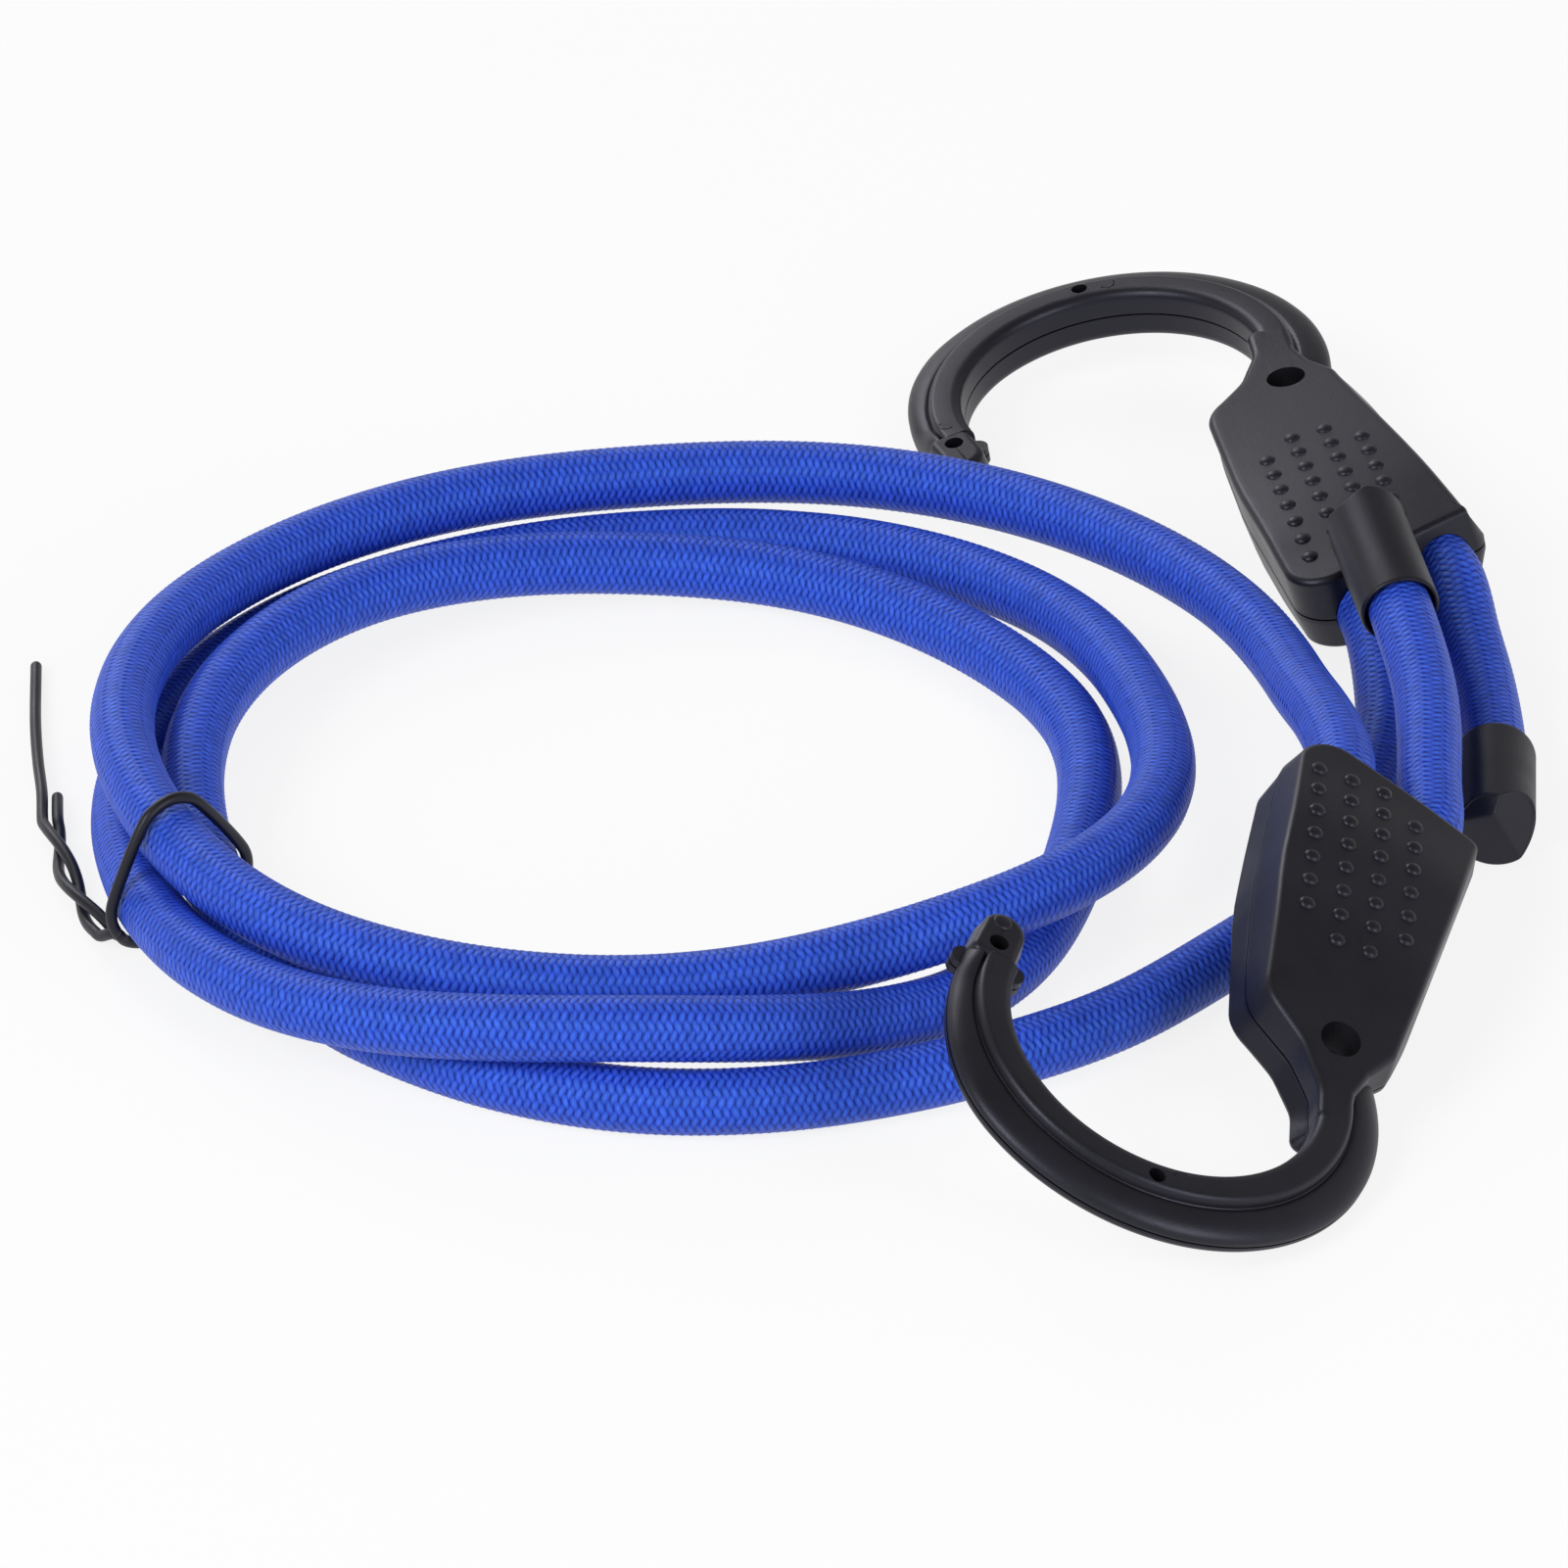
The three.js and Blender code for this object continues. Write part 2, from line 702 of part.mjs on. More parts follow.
// An end cap: a short sleeve whose closed end is pinched into three slanted faces
function capPiece(name, cap) {
  const profile = [
    [0, 0],
    [capRadius - capRim, 0],
    [capRadius, capRim],
    [capRadius, capLength],
    [0, capLength],
  ];
  const sleeve = new THREE.LatheGeometry(
    profile.map(([r, h]) => new THREE.Vector2(r, h)),
    capSides,
  );
  let solid = solidFrom(sleeve);
  facetTurnDegrees.forEach((turn, i) => {
    const cutter = new THREE.BoxGeometry(facetReach, facetReach, facetReach)
      .translate(0, facetReach / 2, 0)
      .rotateZ(-radians(facetSlopeDegrees[i]))
      .rotateY(-radians(turn))
      .translate(facetTipSide, capLength, facetTipRise)
      .rotateY(-radians(cap.roll));
    solid = solid.subtract(solidFrom(cutter));
  });
  const bore = new THREE.CylinderGeometry(capBoreRadius, capBoreRadius, 2 * capBoreDepth, capSides);
  solid = solid.subtract(solidFrom(bore));
  const axis = point(cap.closed).sub(point(cap.open)).normalize();
  const turn = new THREE.Quaternion().setFromUnitVectors(new THREE.Vector3(0, 1, 0), axis);
  const placed = geometryFrom(solid).applyQuaternion(turn);
  return namedMesh(name, placed.translate(...cap.open), "cap");
}

// The tie

// The loop of the tie: a tight line round the three strands, in the plane across them
function tieLoop() {
  const turnStations = fullTurn / stationDegrees;
  const strands = [0, 1, 2].map((turn) => point(coilPoint(tieStation + turn * turnStations)));
  const angle = radians(tieStation * stationDegrees);
  const out = new THREE.Vector3(Math.cos(angle), Math.sin(angle), 0);
  const up = new THREE.Vector3(0, 0, 1);
  const reach = cordRadius + tieSlack + tieRadius;
  const loop = [];
  for (let i = 0; i <= tieLoopSteps; i++) {
    const side = radians(tieLoopStart + (fullTurn * i) / tieLoopSteps);
    const facing = out.clone().multiplyScalar(Math.cos(side)).addScaledVector(up, Math.sin(side));
    const furthest = strands.reduce((a, b) => (b.dot(facing) > a.dot(facing) ? b : a));
    loop.push(furthest.clone().addScaledVector(facing, reach));
  }
  return loop;
}

// One of the two wires of the twist, which wind round the same line
function tieTwist(phase) {
  const line = new THREE.CatmullRomCurve3(tieTwistPath.map(point));
  const wire = [];
  for (let i = 0; i <= tieTwistSteps; i++) {
    const share = i / tieTwistSteps;
    const along = line.getTangentAt(share);
    const side = along.clone().cross(new THREE.Vector3(0, 0, 1)).normalize();
    const top = side.clone().cross(along);
    const angle = phase + 2 * Math.PI * tieTwists * share;
    wire.push(
      line
        .getPointAt(share)
        .addScaledVector(side, tieTwistRadius * Math.cos(angle))
        .addScaledVector(top, tieTwistRadius * Math.sin(angle)),
    );
  }
  return wire;
}

function tieGeometry() {
  const points = [
    ...tieShortEnd.map(point),
    ...tieTwist(0).reverse(),
    ...tieLoop(),
    ...tieTwist(Math.PI),
    ...tieLongEnd.map(point),
  ];
  const section = [];
  for (let k = 0; k < tieSides; k++) {
    const angle = (2 * Math.PI * k) / tieSides;
    section.push(new THREE.Vector2(tieRadius * Math.cos(angle), tieRadius * Math.sin(angle)));
  }
  return new THREE.ExtrudeGeometry(new THREE.Shape(section), {
    steps: tieSteps,
    bevelEnabled: false,
    extrudePath: new THREE.CatmullRomCurve3(points, false, "centripetal"),
  });
}

// The whole clothesline

const group = new THREE.Group();
group.name = "travel_clothesline";

const coil = coilLine();
const gap = leastSelfGap(coil);
console.log("least gap of the coil to itself:", gap.toFixed(2), "mm");
if (gap < selfGapLeast) console.log("the coil comes too close to itself");

const lines = {
  coil_cord: coil,
  front_lead_cord: strandLine([
    ...mouthEnds(frontHook, mouthMain),
    ...frontLeadPoints,
    ...coilEnds(0, -1).reverse(),
  ]),
  rear_lead_cord: strandLine([
    ...coilEnds(coilSteps / stepsPerStation, 1),
    ...rearLeadPoints,
    ...mouthEnds(rearHook, mouthMain).reverse(),
  ]),
  front_tail_cord: strandLine([
    ...mouthEnds(frontHook, mouthTail),
    ...frontTailPoints,
    ...capEnds(frontCap),
  ]),
  rear_tail_cord: strandLine([
    ...mouthEnds(rearHook, mouthTail),
    ...rearTailPoints,
    ...capEnds(rearCap),
  ]),
};

for (const [name, line] of Object.entries(lines)) {
  group.add(...strandPieces(name, line));
  const length = line.slice(1).reduce((sum, p, i) => sum + p.distanceTo(line[i]), 0);
  console.log(name, length.toFixed(0), "mm");
}
group.add(...hookPieces("front", frontHook, true));
group.add(...hookPieces("rear", rearHook, false));
group.add(capPiece("front_end_cap", frontCap));
group.add(capPiece("rear_end_cap", rearCap));
group.add(namedMesh("wire_tie", tieGeometry(), "tie"));

export default group;
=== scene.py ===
import math

import bpy
import numpy as np
from mathutils import Matrix, Vector


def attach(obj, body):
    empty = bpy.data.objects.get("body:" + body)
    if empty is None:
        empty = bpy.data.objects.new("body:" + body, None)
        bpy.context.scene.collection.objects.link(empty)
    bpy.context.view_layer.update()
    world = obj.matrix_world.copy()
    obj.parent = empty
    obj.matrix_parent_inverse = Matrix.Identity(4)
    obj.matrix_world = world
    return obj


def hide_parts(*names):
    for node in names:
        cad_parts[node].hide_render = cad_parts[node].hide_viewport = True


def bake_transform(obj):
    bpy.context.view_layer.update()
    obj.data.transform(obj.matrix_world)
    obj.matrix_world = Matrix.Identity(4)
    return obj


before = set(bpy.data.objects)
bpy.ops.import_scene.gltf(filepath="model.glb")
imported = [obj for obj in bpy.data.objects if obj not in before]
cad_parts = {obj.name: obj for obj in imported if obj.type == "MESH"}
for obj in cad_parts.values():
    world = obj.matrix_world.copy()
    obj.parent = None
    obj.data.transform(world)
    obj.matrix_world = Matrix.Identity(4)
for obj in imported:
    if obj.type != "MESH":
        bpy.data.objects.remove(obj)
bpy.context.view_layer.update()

# A travel clothesline: stretch cord in a tied coil, a flat hook and a capped tail near each end.
# Lengths are in metres in the CAD frame, and angles in degrees.

MM = 0.001
FULL_TURN = 360

# The camera, as the photograph was taken
CAMERA_PLACE = (-0.0630, -1.6988, 0.9926)
CAMERA_TARGET = (-0.0630, 0.0025, 0.0)
LENS = 296.2
SENSOR = 36.0
CLIP_START = 0.01
CLIP_END = 50.0

# The floor, the sky and the lamps: a lamp has its place, size and power
FLOOR_HALF = 4.0
FLOOR_GREY = 0.9
FLOOR_ROUGHNESS = 0.9
FLOOR_WHITE_SHARE = 0.85
SKY_STOPS = [(0.0, 0.85), (0.4, 0.4), (1.0, 0.25)]
LAMPS = {
    "left_lamp": ((-1.2, -1.1, 1.2), 0.9, 22.0),
    "right_lamp": ((1.1, -1.2, 0.8), 0.8, 12.0),
    "back_lamp": ((-0.8, 1.4, 1.0), 0.8, 9.0),
}

# The cord's own sizes, how finely its line and its weave are cut, and how low its middle may lie
CORD_MM = 9.9
CORD_DIAMETER = CORD_MM * MM
CORD_SIDES = 40
RIB_PITCH = 1.23 * MM
RIB_ROWS = 3
FLOAT_COLUMNS = 20
FLOAT_SLANT = 0.34
FLOAT_REACH = 0.9
FLOAT_HEIGHT = 0.17 * MM
TWIST_PER_METRE = 2.2
LINE_STEP = 1.0 * MM
LINE_PIECES = 12
LOWEST_MIDDLE = 4.7 * MM
SMOOTHING = 4.5 * MM
SMOOTHING_REACH = 3
PATH_SPACING = 6 * MM
PATH_POINTS_LEAST = 12

# Where the coil runs: radius and height at each 30 degrees round its middle, as a search fitted them
# to the strands in the photograph. The part's source has the same values.
COIL_CENTRE = (-0.0850, 0.0115)
STATION_DEGREES = 30
STEPS_PER_STATION = 3
COIL_STEPS = 103
COIL_TURNS = 3
COIL_RADII = [
    0.0985, 0.0855, 0.0760, 0.0665, 0.0645, 0.0685, 0.0765, 0.0855, 0.0940, 0.0925, 0.0910, 0.0880,
    0.0760, 0.0700, 0.0645, 0.0580, 0.0575, 0.0635, 0.0740, 0.0880, 0.1050, 0.1070, 0.0955, 0.0765,
    0.0665, 0.0565, 0.0505, 0.0465, 0.0480, 0.0545, 0.0645, 0.0765, 0.0940, 0.1090, 0.1110, 0.1125,
]
COIL_HEIGHTS = [
    0.0160, 0.0140, 0.0120, 0.0120, 0.0130, 0.0140, 0.0160, 0.0175, 0.0160, 0.0140, 0.0160, 0.0140,
    0.0110, 0.0075, 0.0052, 0.0047, 0.0047, 0.0047, 0.0047, 0.0065, 0.0115, 0.0160, 0.0060, 0.0047,
    0.0047, 0.0052, 0.0060, 0.0075, 0.0095, 0.0110, 0.0105, 0.0085, 0.0052, 0.0047, 0.0047, 0.0047,
]

# The points of the short strands between hooks, coil and caps
FRONT_LEAD_POINTS = [(0.0191, -0.0152, 0.0204), (0.0154, 0.0013, 0.0176)]
REAR_LEAD_POINTS = [
    (0.0024, -0.0573, 0.0047),
    (0.0101, -0.0483, 0.0047),
    (0.0171, -0.0371, 0.0047),
    (0.0233, -0.0201, 0.0047),
    (0.0279, -0.0007, 0.0048),
    (0.0295, 0.0133, 0.0064),
]
FRONT_TAIL_POINTS = [(0.0339, -0.0251, 0.0164), (0.0344, -0.0127, 0.0175), (0.0341, 0.0001, 0.0186)]
REAR_TAIL_POINTS = [(0.0426, 0.0304, 0.0102), (0.0444, 0.0188, 0.0076)]
FRONT_LEAD_LENGTH = 75 * MM
REAR_LEAD_LENGTH = 130 * MM
FRONT_TAIL_NEAR = 22 * MM
REAR_TAIL_NEAR = 12 * MM

# Where the hooks lie: place, then turn about Z, pitch and roll
FRONT_HOOK = {"place": (0.01605, -0.09446, 0.00935), "turn": 72.25, "pitch": -5.28, "roll": 24.98}
REAR_HOOK = {"place": (0.01724, 0.09801, 0.0143), "turn": -66.62, "pitch": -0.1, "roll": 190.49}

# Sizes of a hook are in millimetres, in its own plane: the origin is the middle of the neck hole.
# The outline of its body: corners with their rounding
BODY_CORNERS = [
    (2.4, -8.6, 4.0),
    (55.4, -6.5, 1.8),
    (60.8, 24.8, 5.5),
    (27.0, 19.6, 60.0),
    (2.2, 13.4, 7.5),
    (-3.6, 4.9, 10.0),
    (-10.0, -0.2, 8.0),
    (-16.0, -1.9, 1.6),
    (-15.6, -7.0, 1.6),
    (-8.0, -5.6, 1.6),
    (-3.2, -6.3, 2.0),
]
KNOB_CORNERS = [(-20.3, 47.2, 1.6), (-10.2, 47.5, 3.7), (-10.5, 54.1, 3.2), (-20.3, 54.2, 1.6)]
OUTLINE_SPACING = 1.4
ARC_DEGREES = 7
ARC_STEP = 3.0
SEAM_GAP = 0.3
LIP_HEIGHT = 1.0
WALL_DRAFT = 1.15
DRAFT_START, DRAFT_FULL = -9.0, 12.0
EDGE_ROUND = 1.1
EDGE_STEPS = 6
TOP_SHARES = [0.05, 0.12, 0.2, 0.3, 0.42, 0.55, 0.7, 0.85, 0.95]
CROWN_CENTRE = (27.0, 6.5)
CROWN_SLOPE = 0.13
CROWN_DROP = 0.5
BODY_WIDTH = 28.0
LAND_HALF = 4.4
FALL_START, FALL_END = 38.0, 60.0
FLARE_START, FLARE_FULL = -14.0, 6.0

# The two halves of a hook differ a little: where they rise to their dome, how far they fall at the
# wide end, how far their top edge leans out, all round and towards +v, and where their dots lie
UPPER_FACE = {
    "side": 1,
    "bulge": (-12.0, 24.0),
    "end_fall": 1.8,
    "flare": (0.0, 0.0),
    "dots": [(20.7, 13.2, 7), (16.8, 6.9, 8), (17.9, 1.8, 8), (24.2, -2.2, 6)],
    "dot_step": (5.12, 1.16),
}
LOWER_FACE = {
    "side": -1,
    "bulge": (-12.0, 45.0),
    "end_fall": 0.5,
    "flare": (0.3, 1.5),
    "dots": [(23.0, 13.9, 7), (19.2, 7.8, 8), (20.2, 2.6, 8), (26.5, -1.0, 6)],
    "dot_step": (4.93, 1.1),
}
DOME_HALF = 8.3
DOT_RADIUS = 1.35
DOT_HEIGHT = 0.62
DOT_ROOT = 0.25
DOT_SIDES = 20
DOT_ROWS = 5
DOT_FULLNESS = 0.8
SHARP_DEGREES = 32

# The ring of a hook: its section is given as radius and height, outer flange first, then the land
RING_CENTRE = (-19.1, 22.1)
RING_FROM, RING_TO, RING_STEPS = 91.0, 335.0, 176
RING_INNER = 24.2
FLANGE_ROOT = 29.6
RING_SECTION = [
    (RING_INNER, SEAM_GAP / 2), (34.75, SEAM_GAP / 2), (34.8, 0.5), (34.68, 0.95), (34.35, 1.4),
    (33.8, 1.85), (33.0, 2.25), (32.1, 2.55), (31.2, 2.74), (30.6, 2.8), (30.25, 2.78), (30.0, 2.66),
    (29.82, 2.6), (29.68, 2.72), (FLANGE_ROOT, 3.1), (29.5, 3.6), (29.3, 4.0), (28.95, 4.28),
    (28.5, LAND_HALF), (26.0, LAND_HALF), (25.4, 4.33), (24.9, 4.12), (24.5, 3.75), (24.28, 3.25),
    (RING_INNER, 2.7),
]
# By what share the flange narrows towards the tip, and rises into the knob, between which angles
FLANGE_NARROWING, NARROWING_ANGLES = 0.46, (93.0, 150.0)
FLANGE_RISE, RISE_ANGLES = 0.5, (92.0, 104.0)
KNOB_CENTRE = (-16.5, 51.0)
KNOB_DRAFT = 0.5
LUGS = [(-19.9, 54.2), (-18.4, 46.8)]
LUG_RADIUS, LUG_HALF = 1.9, 1.3
BUMP_PLACE, BUMP_RADIUS, BUMP_HEIGHT = (-12.7, 51.5), 1.6, 0.4

# Holes of a hook, and the shallow round marks beside two of them
NECK_HOLE = 3.1
PIN_HOLES = [(-45.7, 15.4, 1.3), (-17.2, 50.7, 1.5)]
PIN_HOLE_FLOOR = 1.0
MARKS = {
    1: [(-43.6, 12.0, 30.0), (-20.6, 50.2, 100.0)],
    -1: [(-44.2, 11.1, -10.0), (-22.7, 49.5, 60.0)],
}
MARK_RADIUS, MARK_WIRE, MARK_HALF = 1.2, 0.14, 85.0
MARK_STEP, MARK_SIDES = 8.0, 12
ROUND_SIDES = 48
CUT_REACH = 20.0

# What a hook holds: the cord in its channel and mouths, the pin and the wire in the ring
CLEARANCE = 0.15
MOUTH_CLEARANCE = 0.4
CHANNEL_RADIUS = CORD_MM / 2 + CLEARANCE
MOUTH_RADIUS = CORD_MM / 2 + MOUTH_CLEARANCE
MOUTH_OUTER = 75.0
PIN_RADIUS, PIN_HALF = 1.3, 6.6
WIRE_RADIUS, WIRE_RING, WIRE_FROM, WIRE_TO = 1.2, 27.4, 98.0, 296.0
WIRE_END = 1.0
BEND_STEP = 6.0

# The strands inside a hook
MOUTH_MAIN = 15.5
MOUTH_TAIL = 1.0
BEND_CENTRE = 48.0
BEND_REACH = 48.7
STRAND_GAP = 0.05
MOUTH_START = BEND_REACH + STRAND_GAP
MOUTH_TIP = 60.5

# Where the caps lie: middle of the open end and middle of the closed end
FRONT_CAP = {"open": (0.0313, 0.0190, 0.0212), "closed": (0.0261, 0.0421, 0.0254), "roll": 68.0}
REAR_CAP = {"open": (0.0453, -0.0001, 0.0063), "closed": (0.0441, -0.0239, 0.0063), "roll": 0.0}
CORD_IN_CAP = 16.2 * MM

# Sizes of a cap, in millimetres: radius and height of its lower rows, then its closed end,
# whose slanting faces have a direction and a slope each
CAP_LENGTH = 24.0
CAP_RADIUS = 6.2
CAP_BORE = 5.5
CAP_SECTION = [
    (CAP_BORE, 16.5), (CAP_BORE, 6.0), (CAP_BORE, 0.35), (5.62, 0.08), (5.8, 0.0), (6.0, 0.06),
    (6.15, 0.25), (CAP_RADIUS, 0.55),
]
CAP_SIDES = 132
CAP_ROUND = 0.4
CAP_ROUND_STEPS = 5
CAP_TOP_ROWS = 24
FACET_TIP = (0.3, 3.8)
FACETS = [(287.0, 12.0), (160.0, 52.0), (67.0, 50.0)]
FACET_BLEND = 4.0

# The wire tie round the three strands, in millimetres
TIE_RADIUS = 0.9
TIE_SLACK = 0.7
TIE_STATION = 7.27
TIE_SIDES = 14
TIE_STEP = 0.45
TIE_PIECES = 8
TIE_LOOP_START, TIE_LOOP_STEP = -30, 18
TIE_TIP_DEGREES = [12.0, 35.0, 58.0, 76.0]
TIE_TWISTS = 1.0
TIE_TWIST_STEPS = 18
TIE_TWIST_PIECES = 10
TIE_TWIST_RADIUS = 1.15
TIE_TWIST_PATH = [(-164.1, -45.7, 2.2), (-168.2, -37.5, 2.2), (-171.4, -26.0, 2.2), (-174.2, -12.5, 2.2)]
TIE_SHORT_END = [(-173.6, -3.6, 1.6)]
TIE_LONG_END = [(-175.9, -4.0, 2.2), (-177.0, 6.0, 1.9), (-178.0, 18.0, 1.5), (-178.9, 37.5, 1.1)]

# Looks: colours of the weave, from painted shade in its grooves up to a painted highlight on its yarn
# tops, then plastics and steel
WEAVE_SHADE_AND_HIGHLIGHT = [
    (0.0, (0.003, 0.008, 0.120)),
    (0.2, (0.010, 0.026, 0.320)),
    (0.5, (0.022, 0.058, 0.530)),
    (1.0, (0.048, 0.130, 0.740)),
]
WEAVE_SHINE = (0.22, 0.55, 1.0, 1.0)
WEAVE_ROUGHNESS = 0.46
WEAVE_WANDER = 0.3
FIBRES_PER_RIB, FIBRES_PER_TURN = 7.0, 2.2
FIBRE_SHADES = [(0.3, 0.72), (0.7, 1.15)]
FIBRE_HEIGHT = 0.35
PATCH_SHADES = [(0.3, 0.84), (0.7, 1.1)]
WEAVE_BUMP, WEAVE_DEPTH = 0.8, 0.16 * MM
HOOK_COLOUR, HOOK_ROUGHNESS, HOOK_PEBBLE = (0.0062, 0.0062, 0.0080), 0.40, 0.4
CAP_COLOUR, CAP_ROUGHNESS, CAP_PEBBLE = (0.0056, 0.0053, 0.0070), 0.46, 0.35
TIE_COLOUR, TIE_ROUGHNESS, TIE_PEBBLE = (0.0060, 0.0060, 0.0068), 0.42, 0.2
PLASTIC_SHINE = (0.78, 0.78, 1.0, 1.0)
PLASTIC_CHANGE = 0.15
SMOOTHER, ROUGHER = 0.05, 0.06
PEBBLE_DEPTH = 0.06 * MM
STEEL_SHADES = [(0.3, 0.42), (0.7, 0.6)]
STEEL_ROUGHNESS = [(0.3, 0.3), (0.7, 0.42)]

# Scale, detail and roughness of each noise
WANDER_NOISE = (1.3, 2.0, 0.5)
FIBRE_NOISE = (1.0, 3.0, 0.65)
PATCH_NOISE = (0.8, 1.0, 0.5)
BLOTCH_NOISE = (60.0, 4.0, 0.65)
PEBBLE_NOISE = (3000.0, 2.0, 0.5)
STREAK_NOISE = (900.0, 3.0, 0.6)


# Lines in space

def smooth_line(points, pieces):
    """A smooth curve through the points, cut into so many pieces between each two."""
    points = np.array(points, float)
    padded = np.vstack([2 * points[0] - points[1], points, 2 * points[-1] - points[-2]])
    line = []
    for i in range(len(points) - 1):
        p0, p1, p2, p3 = padded[i:i + 4]
        t1 = math.sqrt(np.linalg.norm(p1 - p0))
        t2 = t1 + math.sqrt(np.linalg.norm(p2 - p1))
        t3 = t2 + math.sqrt(np.linalg.norm(p3 - p2))
        for t in np.linspace(t1, t2, pieces, endpoint=False):
            a1 = (t1 - t) / t1 * p0 + t / t1 * p1
            a2 = (t2 - t) / (t2 - t1) * p1 + (t - t1) / (t2 - t1) * p2
            a3 = (t3 - t) / (t3 - t2) * p2 + (t - t2) / (t3 - t2) * p3
            b1 = (t2 - t) / t2 * a1 + t / t2 * a2
            b2 = (t3 - t) / (t3 - t1) * a2 + (t - t1) / (t3 - t1) * a3
            line.append((t2 - t) / (t2 - t1) * b1 + (t - t1) / (t2 - t1) * b2)
    line.append(points[-1])
    return np.array(line)


def distances(line):
    """How far along the line each of its points is."""
    return np.concatenate([[0.0], np.cumsum(np.linalg.norm(np.diff(line, axis=0), axis=1))])


def at_distances(line, wanted):
    run = distances(line)
    return np.stack([np.interp(wanted, run, line[:, k]) for k in range(3)], axis=1)


def along_stations(values, station):
    """A smooth value between the entries of a list, at a place that need not be whole."""
    i = min(int(station), len(values) - 2)

    def slope(k):
        low, high = max(k - 1, 0), min(k + 1, len(values) - 1)
        return (values[high] - values[low]) / (high - low)

    t = station - i
    rise = t * t * (3 - 2 * t)
    leave = t * (1 - t) * (1 - t)
    arrive = t * t * (t - 1)
    return values[i] * (1 - rise) + values[i + 1] * rise + slope(i) * leave + slope(i + 1) * arrive


def coil_point(station):
    """The middle of the coiled cord, so many stations on from its start."""
    angle = math.radians(station * STATION_DEGREES)
    radius = along_stations(COIL_RADII, station)
    height = max(along_stations(COIL_HEIGHTS, station), LOWEST_MIDDLE)
    return (
        COIL_CENTRE[0] + radius * math.cos(angle),
        COIL_CENTRE[1] + radius * math.sin(angle),
        height,
    )


def hook_matrix(hook):
    """From millimetres in a hook's own plane to metres in the frame."""
    return (
        Matrix.Translation(hook["place"])
        @ Matrix.Rotation(math.radians(hook["turn"]), 4, "Z")
        @ Matrix.Rotation(math.radians(hook["pitch"]), 4, "Y")
        @ Matrix.Rotation(math.radians(hook["roll"]), 4, "X")
        @ Matrix.Scale(MM, 4)
    )


def on_hook(hook, u, v):
    """A point of a hook's plane, in the frame."""
    return tuple(hook_matrix(hook) @ Vector((u, v, 0.0)))


def eased(line):
    """The same line with its small kinks smoothed away, and nowhere lower than the floor allows."""
    run = distances(line)[-1]
    even = at_distances(line, np.linspace(0.0, run, int(run / LINE_STEP) + 1))
    half = int(SMOOTHING_REACH * SMOOTHING / LINE_STEP)
    before = 2 * even[0] - even[half:0:-1]
    after = 2 * even[-1] - even[-2:-half - 2:-1]
    long = np.vstack([before, even, after])
    weights = np.exp(-0.5 * (np.arange(-half, half + 1) * LINE_STEP / SMOOTHING) ** 2)
    weights /= weights.sum()
    smooth = np.stack([np.convolve(long[:, k], weights, "valid") for k in range(3)], axis=1)
    smooth[:, 2] = np.maximum(smooth[:, 2], CORD_DIAMETER / 2)
    return smooth


# Surfaces

def frames_along(line):
    """For each point of a lying line: the way it goes, the way to its side and the way up from it."""
    along = np.gradient(line, axis=0)
    along /= np.linalg.norm(along, axis=1)[:, None]
    side = np.cross((0.0, 0.0, 1.0), along)
    side /= np.linalg.norm(side, axis=1)[:, None]
    return along, side, np.cross(along, side)


def steady_frames(line):
    """Frames that turn as little as they can, for a line that may also stand upright."""
    along = np.gradient(line, axis=0)
    along /= np.linalg.norm(along, axis=1)[:, None]
    sides = [np.cross((0.0, 0.0, 1.0), along[0])]
    for way in along:
        side = sides[-1] - way * (sides[-1] @ way)
        sides.append(side / np.linalg.norm(side))
    side = np.array(sides[1:])
    return along, side, np.cross(along, side)


def rows_surface(rows):
    """The closed surface through rings of points, which turn anticlockwise about the way they go."""
    rows = np.array(rows)
    count, width = rows.shape[:2]
    here = np.arange(width)
    beside = (here + 1) % width
    faces = []
    for row in range(count - 1):
        low, high = row * width, (row + 1) * width
        faces += np.stack([low + here, low + beside, high + beside, high + here], axis=1).tolist()
    faces.append(here[::-1].tolist())
    faces.append((here + (count - 1) * width).tolist())
    return rows.reshape(-1, 3).tolist(), faces


def round_rows(line, radii, sides):
    """Rings round a line, with their own radius at each of its points."""
    along, side, top = steady_frames(np.array(line))
    turn = 2 * math.pi * np.arange(sides) / sides
    around = side[:, None, :] * np.cos(turn)[None, :, None] + top[:, None, :] * np.sin(turn)[None, :, None]
    return np.array(line)[:, None, :] + np.array(radii)[:, None, None] * around


def tube(line, radius, sides):
    return rows_surface(round_rows(line, [radius] * len(line), sides))


def upright(u, v, radius, low, high):
    """A round column across a hook's plane."""
    turn = 2 * math.pi * np.arange(ROUND_SIDES) / ROUND_SIDES
    ring = [(u + radius * math.cos(a), v + radius * math.sin(a)) for a in turn]
    return rows_surface([[(x, y, height) for x, y in ring] for height in (low, high)])


def plane_arc(centre, radius, start, end, height=0.0, step=ARC_STEP):
    """Points of an arc in a hook's plane, between two angles."""
    angles = np.radians(np.linspace(start, end, int(abs(end - start) / step) + 2))
    return [(centre[0] + radius * math.cos(a), centre[1] + radius * math.sin(a), height) for a in angles]


def loose_object(surface):
    """A helper for carving, removed afterwards."""
    mesh = bpy.data.meshes.new("solid")
    mesh.from_pydata(surface[0], [], surface[1])
    made = bpy.data.objects.new("solid", mesh)
    bpy.context.scene.collection.objects.link(made)
    return made


def applied(made):
    """The mesh of an object once its modifiers have acted."""
    seen = made.evaluated_get(bpy.context.evaluated_depsgraph_get())
    return bpy.data.meshes.new_from_object(seen)


